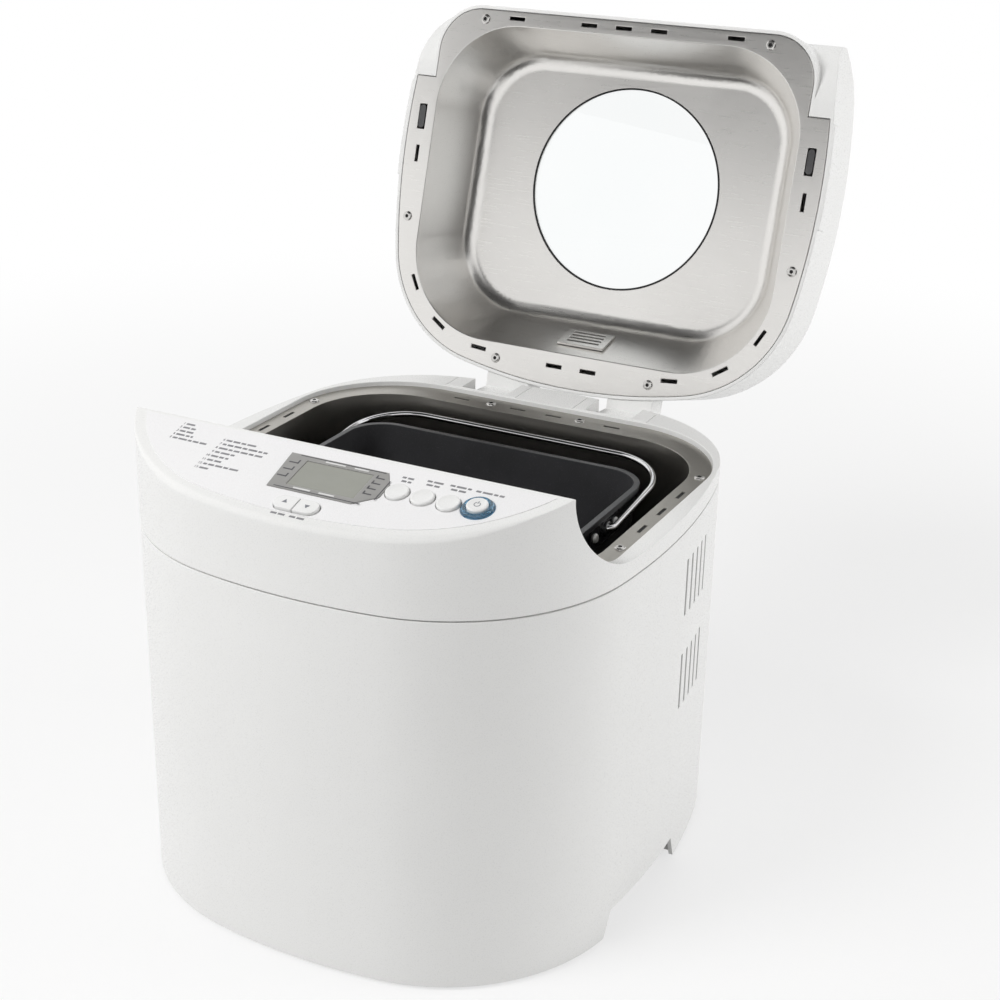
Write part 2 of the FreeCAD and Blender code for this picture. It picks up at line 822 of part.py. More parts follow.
def top_housing():
    outer = plan("top_outer", ("top_edge", "tip"))
    slope_end = f"-body_front - {FAR}"
    above = profile("panel_cut", (f"-{FAR}", f"{FAR}"), [
        ("edge_y", "tip"), ("edge_y", f"tip + {FAR}"), (slope_end, f"tip + {FAR}"),
        (slope_end, f"tip - (panel_depth + {FAR}) * tan(panel_slope)")])
    behind = box("trough_space", (f"-{FAR}", f"{FAR}"), ("edge_y", f"{FAR}"), ("rim", f"rim + {FAR}"))
    trough = cut("trough", behind, cheek("cheek", "edge_y", "rim", "tip_rise"))
    seat = block("seat_pocket", ("bed", f"tip + {FAR}"), "seat_half", "edge_y", "seat_rear",
                 "seat_front_corner", "seat_rear_corner")
    mouth = block("deck_mouth", ("seam_height - lip_depth", "tip"), "oven_half + sheet + seat_fit",
                  "oven_front - sheet - seat_fit", "oven_rear + sheet + seat_fit",
                  "oven_front_corner", "oven_rear_corner")
    back_y = "edge_y - shell_wall"
    hollow = common("front_hollow", plan("front_inner", ("seam_height", "tip"), "shell_wall"),
                    profile("front_space", (f"-{FAR}", f"{FAR}"), [
                        (back_y, "seam_height"),
                        (back_y, "tip - shell_wall * tan(panel_slope) - panel_thick"),
                        (slope_end, f"tip - (panel_depth + {FAR}) * tan(panel_slope) - panel_thick"),
                        (slope_end, "seam_height")]))
    under = plan("deck_hollow", ("seam_height", "bed - deck_wall"), "shell_wall")
    shell = cut("top_shell", outer, above, trough, seat, mouth, hollow, under)
    lip_inset = "shell_wall + slip_fit"
    lip_inner = f"{lip_inset} + lip_wall"
    lip_low = cut("lip_low", plan("lip_outer", ("top_edge - lip_depth", "top_edge"), lip_inset),
                  plan("lip_inner", ("top_edge - lip_depth", "top_edge"), lip_inner))
    root_z = ("top_edge", "top_edge + lip_root")
    lip_high = cut("lip_high", plan("lip_root_outer", root_z, "shell_wall / 2"),
                   plan("lip_root_inner", root_z, lip_inner))
    posts = on_panel(group("board_posts", *[
        rod(f"board_post_{number}", "post_radius", x, y, ("-board_drop", "-shell_wall / 2"))
        for number, (x, y) in enumerate(board_screw_places())]))
    body = join("top_body", shell, lip_low, lip_high, posts)
    deck_holes = group("deck_holes", *screw_holes("deck_hole", oven_screw_places(), ("0", "tip")))
    node("top_housing", cut("top_housing", body, panel_openings(), hinge_notch("top_notch"), deck_holes))


def cheek(name, y, z, radius):
    # The concave corner beside the lid's front end.
    corner = box(name + "_block", (f"-{FAR}", f"{FAR}"), (y, f"{y} + {radius}"), (z, f"{z} + {radius}"))
    round_part = rod_x(name + "_round", radius, (f"-{FAR} - 1", f"{FAR} + 1"),
                       f"{y} + {radius}", f"{z} + {radius}")
    return cut(name, corner, round_part)


def board_screw_places():
    low = "-(screen_s + screen_half_s + post_radius)"
    high = "-board_start - post_radius"
    left = "screen_x - screen_half_x - post_inset"
    right = "screen_x + screen_half_x + post_inset"
    return [(left, high), ("start_x + start_radius", high), (left, low), (right, low)]


def button_places():
    return [("menu_button", "button_first_x"), ("size_button", "button_first_x + button_pitch"),
            ("crust_button", "button_first_x + button_pitch * 2")]


def bezel_points(margin):
    left = f"screen_x - screen_half_x - bezel_side - ({margin})"
    right = f"screen_x + screen_half_x + bezel_side + ({margin})"
    back = f"-screen_s + screen_half_s + bezel_edge + ({margin})"
    front = f"-screen_s - screen_half_s - bezel_edge - ({margin})"
    return [(f"{left} + bezel_cut / 2", front), (f"{right} - bezel_cut * 2", front),
            (right, "-screen_s - bezel_cut"), (right, "-screen_s + bezel_cut"),
            (f"{right} - bezel_cut", back), (left, back)]


def stadium(name, half_x, half_y, x, y, z):
    straight = f"({half_x}) - ({half_y})"
    return join(name, box(name + "_middle", (f"{x} - ({straight})", f"{x} + {straight}"),
                          (f"{y} - ({half_y})", f"{y} + {half_y}"), z),
                rod(name + "_left", half_y, f"{x} - ({straight})", y, z),
                rod(name + "_right", half_y, f"{x} + {straight}", y, z))


def panel_openings():
    depth = ("-shell_wall * 2", f"{FAR}")
    tools = [rod(f"{name}_hole", "button_radius + button_gap", x, "-button_s", depth)
             for name, x in button_places()]
    tools.append(rod("start_hole", "start_radius + button_gap + ring_wall", "start_x", "-start_s", depth))
    tools.append(stadium("arrow_hole", "arrow_half_x + button_gap", "arrow_half_s + button_gap",
                         "arrow_x", "-arrow_s", depth))
    tools.append(box("screen_hole", ("screen_x - screen_half_x", "screen_x + screen_half_x"),
                     ("-screen_s - screen_half_s", "-screen_s + screen_half_s"), depth))
    for number, (x, y) in enumerate(board_screw_places()):
        tools.append(rod(f"post_hole_{number}", "small_screw", x, y, ("-board_drop * 2", "-shell_wall")))
    return on_panel(group("panel_openings", *tools))


# Base, feet and the cord's inlet

def base_plate():
    fit = "shell_wall + slip_fit"
    floor = plan("base_floor", ("foot_height", "base_top"), fit)
    inner_x = "body_half_width - hand_depth"
    roof = "hand_height + pocket_wall"
    pocket = box("hand_pocket", (f"{inner_x} - pocket_wall", f"{FAR}"), hand_span("pocket_wall + hand_flare"),
                 ("foot_height", f"{roof} + pocket_wall"))
    space = box("hand_space", (inner_x, f"{FAR}"), hand_span("hand_flare"), ("0", roof))
    inside = plan("base_inside", ("foot_height", f"{roof} + pocket_wall"), fit)
    pockets = common("hand_pockets", inside, join("pocket_pair", pocket, mirrored("pocket_left", pocket)))
    posts = [rod(f"chassis_post_{number}", "chassis_post", x, y, ("foot_height", "chassis_height"))
             for number, (x, y) in enumerate(chassis_places())]
    for number, (x, y) in enumerate(power_places()):
        posts.append(rod(f"power_post_{number}", "post_radius", x, y,
                         ("foot_height", "base_top + power_stand")))
    body = join("base_body", floor, pockets, *posts)
    holes = [rod(f"foot_hole_{number}", "foot_stem", x, y, ("0", "base_top + foot_height"))
             for number, (x, y) in enumerate(foot_places())]
    holes += screw_holes("chassis_hole", chassis_places(),
                         ("chassis_height - screw_length", "chassis_height"))
    node("base_plate", cut("base_plate", body, space, mirrored("hand_space_left", space),
                           group("base_holes", *holes, *base_screw_holes("base_hole"))))
    node("base_screws", group("base_screws", *[
        screw(f"base_screw_{number}", x, y, "foot_height", 1, "base_wall * 2")
        for number, (x, y) in enumerate(base_screw_places())]))


def foot_places():
    return [(f"{side} * (body_half_width - foot_inset_x)", y)
            for y in ("foot_inset_y - body_front", "body_rear - foot_inset_y") for side in SIDES]


def rubber_feet():
    feet = []
    for number, (x, y) in enumerate(foot_places()):
        sole = rod(f"foot_sole_{number}", "foot_radius", x, y, ("0", "foot_height"))
        stem = rod(f"foot_stem_{number}", "foot_stem", x, y, ("0", "base_top"))
        bulb = rod(f"foot_bulb_{number}", "foot_stem + shell_wall / 2", x, y,
                   ("base_top", "base_top + shell_wall"))
        feet.append(join(f"foot_{number}", sole, stem, bulb))
    node("rubber_feet", group("rubber_feet", *feet))


def cord_inlet():
    collar = rod_y("inlet_collar", "inlet_radius + inlet_collar", 0,
                   ("body_rear", "body_rear + inlet_collar"), "inlet_height")
    neck = rod_y("inlet_neck", "inlet_radius", 0, ("body_rear - shell_wall * 2", "body_rear + inlet_collar"),
                 "inlet_height")
    bore = rod_y("inlet_bore", "inlet_bore", 0, (f"body_rear - {FAR}", f"body_rear + {FAR}"), "inlet_height")
    node("cord_inlet", cut("cord_inlet", join("inlet_body", collar, neck), bore))


# Control panel

def control_panel():
    slab = on_panel(group("film_slab", box("film_sheet", (f"-{FAR}", f"{FAR}"), (f"-{FAR}", "-film_start"),
                                           ("0", "film_wall"))))
    sheet_area = plan("film_area", ("seam_height", f"tip + {FAR}"), "film_border")
    openings = [rod(f"film_{name}", "button_radius + button_gap * 2", x, "-button_s", ("-1", "5"))
                for name, x in button_places()]
    openings.append(rod("film_start", "start_radius + button_gap * 2 + ring_wall + ring_flange",
                        "start_x", "-start_s", ("-1", "5")))
    openings.append(stadium("film_arrow", "arrow_half_x + button_gap * 2", "arrow_half_s + button_gap * 2",
                            "arrow_x", "-arrow_s", ("-1", "5")))
    openings.append(plate("film_bezel", ("-1", "5"), bezel_points("slip_fit")))
    node("control_overlay", cut("control_overlay", common("film_blank", slab, sheet_area),
                                on_panel(group("film_openings", *openings))))
    window = box("bezel_window", ("screen_x - screen_half_x", "screen_x + screen_half_x"),
                 ("-screen_s - screen_half_s", "-screen_s + screen_half_s"), ("-1", "5"))
    frame_plate = plate("bezel_blank", ("0", "bezel_wall"), bezel_points("0"))
    node("display_bezel", on_panel(cut("display_bezel", frame_plate, window)))
    fit = "slip_fit / 2"
    node("display_screen", on_panel(group("display_screen", box(
        "screen_block", (f"screen_x - screen_half_x + {fit}", f"screen_x + screen_half_x - {fit}"),
        (f"-screen_s - screen_half_s + {fit}", f"-screen_s + screen_half_s - {fit}"),
        ("-board_drop", "screen_rise")))))


def round_button(name, radius, rise, x, s):
    cap = rod(name + "_cap", radius, x, s, ("-button_stem", f"{rise} - button_rim"))
    crown = doc.addObject("Part::Cone", name + "_crown")
    bind(crown, Radius1=radius, Radius2=f"{radius} - button_rim", Height="button_rim")
    move(crown, x, s, f"{rise} - button_rim")
    skirt_top = "-shell_wall - rest_gap"
    skirt = rod(name + "_skirt", f"{radius} + button_skirt", x, s, (f"{skirt_top} - button_skirt", skirt_top))
    node(name, on_panel(join(name, cap, crown, skirt)))


def buttons():
    for name, x in button_places():
        round_button(name, "button_radius", "button_rise", x, "-button_s")
    round_button("start_button", "start_radius", "start_rise", "start_x", "-start_s")
    outer = "start_radius + button_gap + ring_wall"
    ring = join("ring_body", rod("ring_neck", outer, "start_x", "-start_s", ("-shell_wall", "ring_rise")),
                rod("ring_flange", f"{outer} + ring_flange", "start_x", "-start_s", ("0", "ring_flange")))
    bore = rod("ring_bore", "start_radius + button_gap", "start_x", "-start_s",
               ("-shell_wall * 2", "ring_rise + 1"))
    node("start_ring", on_panel(cut("start_ring", ring, bore)))
    for name, side in (("up_button", -1), ("down_button", 1)):
        long_key = stadium(name + "_key", "arrow_half_x", "arrow_half_s", "arrow_x", "-arrow_s",
                           ("-button_stem", "button_rise"))
        skirt_top = "-shell_wall - rest_gap"
        skirt = stadium(name + "_skirt", "arrow_half_x + button_skirt", "arrow_half_s + button_skirt",
                        "arrow_x", "-arrow_s", (f"{skirt_top} - button_skirt", skirt_top))
        start = "arrow_split / 2" if side > 0 else f"-{FAR}"
        end = f"{FAR}" if side > 0 else "-arrow_split / 2"
        half = box(name + "_half", (f"arrow_x + {start}", f"arrow_x + {end}"), (f"-{FAR}", f"{FAR}"),
                   ("-button_stem * 2", "button_rise * 2"))
        node(name, on_panel(common(name, join(name + "_blank", long_key, skirt), half)))


def control_board():
    z = ("-board_drop - board_wall", "-board_drop")
    left = "screen_x - screen_half_x - board_edge"
    main = box("board_main", (left, "start_x + board_edge"), ("-board_end", "-board_start"), z)
    middle = box("board_middle", (left, "screen_x + screen_half_x + board_edge"),
                 ("-screen_s - screen_half_s - post_radius * 2", "-board_start"), z)
    tail = box("board_tail", ("arrow_x - board_tongue", "arrow_x + board_tongue"),
               ("-arrow_s - arrow_half_s", "-screen_s"), z)
    holes = [rod(f"board_hole_{number}", "small_screw", x, y, (f"-{FAR}", "0"))
             for number, (x, y) in enumerate(board_screw_places())]
    node("control_board", on_panel(cut("control_board", join("board_blank", main, middle, tail),
                                       group("board_holes", *holes))))
    keys = [(x, "-button_s") for name, x in button_places()]
    keys += [("start_x", "-start_s"), ("arrow_x - arrow_half_x / 2", "-arrow_s"),
             ("arrow_x + arrow_half_x / 2", "-arrow_s")]
    top = "-button_stem - button_travel - slip_fit"
    switches = [box(f"key_switch_{number}", (f"{x} - switch_half", f"{x} + switch_half"),
                    (f"{y} - switch_half", f"{y} + switch_half"), ("-board_drop", top))
                for number, (x, y) in enumerate(keys)]
    node("key_switches", on_panel(group("key_switches", *switches)))
    screws = []
    for number, (x, y) in enumerate(board_screw_places()):
        seat = "-board_drop - board_wall"
        head = rod(f"board_screw_head_{number}", "small_screw * 2", x, y, (f"{seat} - small_screw", seat))
        shank = rod(f"board_screw_shank_{number}", "small_screw", x, y, (seat, "-shell_wall * 2"))
        screws.append(join(f"board_screw_{number}", head, shank))
    node("board_screws", on_panel(group("board_screws", *screws)))


# Oven

def flange_slots(name, places, z):
    slots = []
    for number, (x, y, angle, length, width) in enumerate(places):
        blank = doc.addObject("Part::Box", f"{name}_{number}")
        bind(blank, Length=length, Width=width, Height=f"({z[1]}) - ({z[0]})")
        middle = FreeCAD.Vector(-value(length) / 2, -value(width) / 2, 0)
        rotation = FreeCAD.Rotation(FreeCAD.Vector(0, 0, 1), angle)
        base = FreeCAD.Vector(value(x), value(y), value(z[0])) + rotation.multVec(middle)
        blank.Placement = FreeCAD.Placement(base, rotation)
        slots.append(blank)
    return group(name, *slots)


def oven_screw_places():
    side_x = "seat_half - flange_side / 2"
    back_y = "seat_rear - flange_back / 2"
    places = []
    for side in SIDES:
        for end in SIDES:
            places.append((f"{side} * ({side_x})", f"oven_y + {end} * oven_screw_y"))
        places.append((f"{side} * oven_screw_x", back_y))
    return places


def oven_chamber():
    flange = block("oven_flange", ("bed", "bed + sheet"), "seat_half - seat_fit", "edge_y + seat_fit",
                   "seat_rear - seat_fit", "seat_front_corner", "seat_rear_corner")
    tub_z = ("oven_floor - sheet", "bed + sheet")
    tub = block("oven_tub", tub_z, "oven_half + sheet", "oven_front - sheet", "oven_rear + sheet",
                "oven_front_corner", "oven_rear_corner")
    inside = block("oven_inside", ("oven_floor", f"bed + {FAR}"), "oven_half", "oven_front", "oven_rear",
                   "oven_front_corner - sheet", "oven_rear_corner - sheet")
    middle_x = "seat_half - flange_side / 2"
    places = []
    for side in SIDES:
        for step in (-1, 0, 1):
            places.append((f"{side} * ({middle_x})", f"oven_y + {step} * oven_slot_pitch", 90,
                           "slot_length", "slot_width"))
        for x in ("oven_slot_near", "oven_slot_far"):
            places.append((f"{side} * {x}", "seat_rear - flange_back / 2", 0, "slot_length", "slot_width"))
    slots = flange_slots("oven_slot", places, ("bed - deck_wall / 2", f"bed + {FAR}"))
    holes = screw_holes("oven_hole", oven_screw_places(), ("bed - 1", "bed + sheet + 1"))
    holes.append(rod("floor_hole", "floor_hole", 0, "oven_y", ("0", "oven_floor + 1")))
    for side, x in element_legs():
        holes.append(rod_y(f"leg_hole_{side}", "element_radius + seal_wall", x,
                           ("oven_front - sheet * 3", "oven_front + sheet"), "element_z"))
    holes.append(rod_x("sensor_hole", "sensor_radius", ("-oven_half - sheet * 2", "-oven_half + sheet"),
                       "sensor_y", "oven_floor + sensor_rise"))
    node("oven_chamber", cut("oven_chamber", join("oven_body", flange, tub), inside, slots,
                             group("oven_holes", *holes)))
    node("oven_screws", group("oven_screws", *[
        screw(f"oven_screw_{number}", x, y, "bed + sheet", -1)
        for number, (x, y) in enumerate(oven_screw_places())]))


def element_legs():
    return [(0, "-element_leg_x"), (1, "element_leg_x")]


def heating_element():
    side = "oven_half - element_inset"
    near = "oven_front + element_inset"
    back = "oven_rear - element_inset"
    bend, wide, turn_in = "element_bend", "element_rear_bend", "element_turn"
    tail = "oven_front - sheet - element_tail"
    leg = "element_leg_x"
    path = doc.addObject("Sketcher::SketchObject", "element_path")
    path.setExpression("Placement.Base.z", link("element_z"))
    trail(path, [
        ((leg, tail), (leg, f"{near} - {turn_in}")),
        ((f"{leg} + {turn_in}", near), (f"{side} - {bend}", near)),
        ((side, f"{near} + {bend}"), (side, f"{back} - {wide}")),
        ((f"{side} - {wide}", back), (f"{wide} - ({side})", back)),
        ((f"-({side})", f"{back} - {wide}"), (f"-({side})", f"{near} + {bend}")),
        ((f"{bend} - ({side})", near), (f"-{leg} - {turn_in}", near)),
        ((f"-{leg}", f"{near} - {turn_in}"), (f"-{leg}", tail)),
    ], [turn_in, bend, wide, wide, bend, turn_in])
    node("heating_element", sweep("heating_element", "element_radius", path, (leg, tail, "element_z"),
                                  FreeCAD.Vector(1, 0, 0), -90))
    seals = []
    for number, x in element_legs():
        outer = rod_y(f"seal_outer_{number}", "element_radius + seal_wall", x,
                      ("oven_front - sheet * 6", "oven_front"), "element_z")
        flange = rod_y(f"seal_flange_{number}", "element_radius + seal_wall * 2", x,
                       ("oven_front - sheet * 6", "oven_front - sheet"), "element_z")
        bore = rod_y(f"seal_bore_{number}", "element_radius", x, (f"-{FAR}", f"{FAR}"), "element_z")
        seals.append(cut(f"seal_{number}", join(f"seal_body_{number}", outer, flange), bore))
    node("element_seals", group("element_seals", *seals))
    rests = []
    rest_z = ("oven_floor", "element_z - element_radius - rest_gap")
    for number, x in enumerate((f"-({side})", side)):
        rests.append(rod(f"side_rest_{number}", "rest_radius", x, "oven_y", rest_z))
    rests.append(rod("back_rest", "rest_radius", 0, back, rest_z))
    node("element_rests", group("element_rests", *rests))


def temperature_sensor():
    z = "oven_floor + sensor_rise"
    probe = rod_x("sensor_probe", "sensor_radius",
                  ("-oven_half - sheet - sensor_reach / 2", "sensor_reach - oven_half"), "sensor_y", z)
    flange = rod_x("sensor_flange", "sensor_flange", ("-oven_half - sheet * 4", "-oven_half - sheet"),
                   "sensor_y", z)
    node("temperature_sensor", join("temperature_sensor", probe, flange))


def pan_seat():
    top = "oven_floor + seat_height"
    outer = rod("seat_outer", "seat_radius + seat_wall", 0, "oven_y", ("oven_floor", top))
    cup = rod("seat_cup", "seat_radius", 0, "oven_y", ("oven_floor + seat_ledge", f"{top} + 1"))
    well = rod("seat_well", "coupling_radius + seat_wall", 0, "oven_y", ("0", f"{top} + 1"))
    node("pan_seat", cut("pan_seat", outer, cup, well))


# Bread pan

def pan_section(grow, taper):
    half = f"pan_wall_x - ({taper}) + ({grow})"
    reach = f"pan_wall_y - ({taper}) + ({grow})"
    corner = f"pan_corner - ({taper}) / 2 + ({grow})"
    return half, f"oven_y - ({reach})", f"oven_y + {reach}", corner, corner


def bread_pan():
    outer = loft("pan_outer", [("pan_bottom", pan_section("0", "pan_taper")),
                               ("pan_top", pan_section("0", "0"))])
    inner = loft("pan_inner", [("pan_bottom + pan_floor", pan_section("-pan_wall", "pan_taper")),
                               ("pan_top", pan_section("-pan_wall", "0"))])
    rim_z = ("pan_top - pan_rim_height", "pan_top")
    rim = block("pan_rim", rim_z, *pan_section("pan_rim_width", "0"))
    inner_rim = block("pan_rim_inner", rim_z, *pan_section("-pan_wall", "0"))
    body = join("pan_body", cut("pan_shell", outer, inner), cut("pan_rim_ring", rim, inner_rim))
    holes = [rod("pan_floor_hole", "bush_radius", 0, "oven_y", ("0", "pan_bottom + pan_floor + 1"))]
    for number, (side, y) in enumerate(rivet_places()):
        holes.append(rod_x(f"pan_rivet_hole_{number}", "rivet_shank", rivet_span(side), y, "rivet_z"))
    node("bread_pan", cut("bread_pan", body, group("pan_holes", *holes)))


def rivet_places():
    return [(side, f"oven_y + {end} * rivet_spacing / 2") for side in SIDES for end in SIDES]


def rivet_span(side):
    inner, outer = "bracket_x - pan_wall * 2.5", "bracket_x + bracket_wall"
    return (inner, outer) if side > 0 else (f"-({outer})", f"-({inner})")


def pan_fittings():
    foot_z = ("oven_floor + seat_ledge + rest_gap", "pan_bottom")
    node("pan_foot", cut("pan_foot", rod("pan_foot_outer", "foot_ring_radius", 0, "oven_y", foot_z),
                         rod("pan_foot_inner", "foot_ring_radius - foot_ring_wall", 0, "oven_y", foot_z)))
    low = "pan_bottom - bush_flange"
    sleeve = rod("bush_sleeve", "bush_radius", 0, "oven_y", (low, "pan_bottom + bush_rise"))
    flange = rod("bush_flange", "bush_radius + bush_flange", 0, "oven_y", (low, "pan_bottom"))
    bore = rod("bush_bore", "spindle_radius + run_gap", 0, "oven_y", ("0", f"{FAR}"))
    node("pan_bush", cut("pan_bush", join("bush_body", sleeve, flange), bore))
    seal_z = ("pan_bottom + bush_rise", "pan_bottom + bush_rise + seal_height")
    node("pan_seal", cut("pan_seal", rod("seal_outer", "bush_radius - rest_gap", 0, "oven_y", seal_z),
                         rod("seal_inner", "spindle_radius + rest_gap", 0, "oven_y", seal_z)))


def lugs(name, z, across):
    pair = []
    for side in SIDES:
        middle = f"{side} * lug_radius"
        x = (f"{middle} - lug_length / 2", f"{middle} + lug_length / 2")
        y = ("oven_y - lug_width / 2", "oven_y + lug_width / 2")
        if across:
            x = ("-lug_width / 2", "lug_width / 2")
            y = (f"oven_y + {middle} - lug_length / 2", f"oven_y + {middle} + lug_length / 2")
        pair.append(box(f"{name}_{side + 1}", x, y, z))
    return pair


def spindle():
    disc_z = ("coupling_low", "coupling_low + coupling_wall")
    node("pan_shaft", rod("pan_shaft", "spindle_radius", 0, "oven_y", ("coupling_low", "spindle_top")))
    disc = rod("pan_disc", "coupling_radius", 0, "oven_y", disc_z)
    legs = lugs("pan_lug", ("coupling_low - lug_height + rest_gap", "coupling_low + coupling_wall / 2"), True)
    bore = rod("pan_disc_bore", "spindle_radius", 0, "oven_y", ("0", f"{FAR}"))
    node("pan_coupling", cut("pan_coupling", join("pan_disc_body", disc, *legs), bore))


def kneading_paddle():
    top = "paddle_low + paddle_height"
    hub = rod("paddle_hub", "paddle_hub", 0, "oven_y", ("paddle_low", top))
    half = "paddle_wall / 2"
    blade_body, sketch = start_body("paddle_blade", "XZ_Plane", f"-oven_y - {half}")
    polygon(sketch, [("0", "paddle_low"), ("paddle_reach", "paddle_low"),
                     ("paddle_reach - paddle_wall", "paddle_low + paddle_tip"),
                     ("paddle_crest_x", "paddle_low + paddle_crest"), ("0", top)])
    blade = pad(blade_body, sketch, "paddle_wall")
    bore = rod("paddle_bore", "spindle_radius + run_gap", 0, "oven_y", ("0", "spindle_top + rest_gap"))
    node("kneading_paddle", cut("kneading_paddle", join("paddle_body", hub, blade), bore))


def bail_handle():
    path = doc.addObject("Sketcher::SketchObject", "bail_path")
    end, reach, bend, small = "bail_x", "bail_reach", "bail_bend", "bail_end_bend"
    start = "bracket_x + run_gap * 8"
    trail(path, [
        ((start, "0"), (f"{end} - {small}", "0")),
        ((end, small), (end, f"{reach} - {bend}")),
        ((f"{end} - {bend}", reach), (f"{bend} - {end}", reach)),
        ((f"-{end}", f"{reach} - {bend}"), (f"-{end}", small)),
        ((f"{small} - {end}", "0"), (f"-({start})", "0")),
    ], [small, bend, bend, small])
    wire = sweep("bail_handle", "wire_radius", path, (start, "0", "0"), FreeCAD.Vector(0, 1, 0), 90)
    turn(wire, FreeCAD.Vector(1, 0, 0), value("bail_fold"))
    node("bail_handle", move(wire, 0, "oven_y", "bail_z"))


def bail_brackets():
    high = "pan_top - pan_rim_height - slip_fit"
    leaf = box("bracket_leaf", ("bracket_x", "bracket_x + bracket_wall"),
               ("oven_y - bracket_half_y", "oven_y + bracket_half_y"), (f"{high} - bracket_height", high))
    boss = rod_x("bracket_boss", "bracket_boss", ("bracket_x", "bracket_x + bracket_wall + boss_reach"),
                 "oven_y", "bail_z")
    bore = rod_x("bracket_bore", "wire_radius + run_gap", ("0", f"{FAR}"), "oven_y", "bail_z")
    holes = [rod_x(f"bracket_hole_{number}", "rivet_shank", rivet_span(side), y, "rivet_z")
             for number, (side, y) in enumerate(rivet_places()) if side > 0]
    right = cut("bracket_right", join("bracket_body", leaf, boss), bore, *holes)
    node("bail_brackets", group("bail_brackets", right, mirrored("bracket_left", right)))
    rivets = []
    for number, (side, y) in enumerate(rivet_places()):
        low, high = "bracket_x + bracket_wall", "bracket_x + bracket_wall + rivet_head"
        head = (low, high) if side > 0 else (f"-({high})", f"-({low})")
        button = rod_x(f"rivet_head_{number}", "rivet_radius", head, y, "rivet_z")
        shank = rod_x(f"rivet_shank_{number}", "rivet_shank", rivet_span(side), y, "rivet_z")
        rivets.append(join(f"rivet_{number}", button, shank))
    node("bracket_rivets", group("bracket_rivets", *rivets))


# Drive

def chassis_places():
    return [(f"{side} * chassis_post_x", y)
            for y in ("motor_y + chassis_post_front", "oven_y + chassis_post_back") for side in SIDES]


def drive_chassis():
    slab = block("chassis_slab", ("chassis_height", "chassis_top"), "chassis_half_x",
                 "motor_y - chassis_front", "oven_y + chassis_back", "chassis_corner", "chassis_corner")
    holes = screw_holes("slab_hole", chassis_places(), ("0", f"{FAR}"))
    holes.append(rod("slab_shaft_hole", "shaft_hole", 0, "oven_y", ("0", f"{FAR}")))
    holes.append(rod("slab_motor_hole", "motor_shaft_radius * 2", 0, "motor_y", ("0", f"{FAR}")))
    node("drive_chassis", cut("drive_chassis", slab, group("slab_holes", *holes)))
    node("chassis_screws", group("chassis_screws", *[
        screw(f"chassis_screw_{number}", x, y, "chassis_top", -1)
        for number, (x, y) in enumerate(chassis_places())]))
    z = ("chassis_top", "oven_floor - sheet")
    flange_z = ("chassis_top", "chassis_top + chassis_wall * 2")
    bearing = join("bearing_body", rod("bearing_sleeve", "bearing_radius", 0, "oven_y", z),
                   rod("bearing_flange", "bearing_flange", 0, "oven_y", flange_z))
    bore = rod("bearing_bore", "shaft_radius + run_gap", 0, "oven_y", ("0", f"{FAR}"))
    node("shaft_bearing", cut("shaft_bearing", bearing, bore))


def pulley(name, radius, bore, y):
    high = "pulley_bottom + pulley_height"
    rim = f"({radius}) + pulley_flange"
    body = join(name + "_body", rod(name + "_drum", radius, 0, y, ("pulley_bottom", high)),
                rod(name + "_low", rim, 0, y, ("pulley_bottom", "pulley_bottom + pulley_cheek")),
                rod(name + "_high", rim, 0, y, (f"{high} - pulley_cheek", high)))
    return cut(name, body, rod(name + "_bore", bore, 0, y, ("0", f"{FAR}")))


def drive():
    node("drive_shaft", rod("drive_shaft", "shaft_radius", 0, "oven_y",
                            ("pulley_bottom - shell_wall", "drive_top")))
    wheel = pulley("large_wheel", "large_pulley_radius", "shaft_radius", "oven_y")
    windows = []
    count = int(value("wheel_holes"))
    for number in range(count):
        angle = 2 * math.pi * number / count
        x = f"{math.cos(angle):.6f} * wheel_hole_reach"
        y = f"oven_y + {math.sin(angle):.6f} * wheel_hole_reach"
        windows.append(rod(f"wheel_window_{number}", "wheel_hole_radius", x, y, ("0", f"{FAR}")))
    node("large_pulley", cut("large_pulley", wheel, group("wheel_windows", *windows)))
    hub_z = ("drive_top - seat_ledge", "drive_top")
    hub = rod("coupling_hub", "coupling_radius", 0, "oven_y", hub_z)
    horns = lugs("drive_lug", ("drive_top - seat_ledge / 2", "drive_top + lug_height"), False)
    bore = rod("coupling_bore", "shaft_radius", 0, "oven_y", ("0", "drive_top"))
    node("drive_coupling", cut("drive_coupling", join("coupling_body", hub, *horns), bore))


def belt_loop(name, grow):
    # Two arcs round the pulleys and the two straight runs between them.
    cheek_gap = "pulley_cheek + belt_gap"
    body, sketch = start_body(name, "XY_Plane", f"pulley_bottom + {cheek_gap}")
    large = value(f"large_pulley_radius + {grow}")
    small = value(f"small_pulley_radius + {grow}")
    span = value("oven_y - motor_y")
    lean = math.asin((large - small) / span)
    half_turn = math.pi
    back = arc(sketch, (0, value("oven_y")), large, -lean, half_turn + lean)
    near = arc(sketch, (0, value("motor_y")), small, half_turn + lean, 2 * half_turn - lean)

    def ends(geo):
        return sketch.Geometry[geo].StartPoint, sketch.Geometry[geo].EndPoint

    left = line(sketch, ends(back)[1], ends(near)[0])
    right = line(sketch, ends(near)[1], ends(back)[0])
    tie_round(sketch, [back, left, near, right])
    fix_radius(sketch, back, f"large_pulley_radius + {grow}")
    fix_radius(sketch, near, f"small_pulley_radius + {grow}")
    pin(sketch, back, 3, "0", "oven_y")
    pin(sketch, near, 3, "0", "motor_y")
    return pad(body, sketch, f"pulley_height - ({cheek_gap}) * 2")


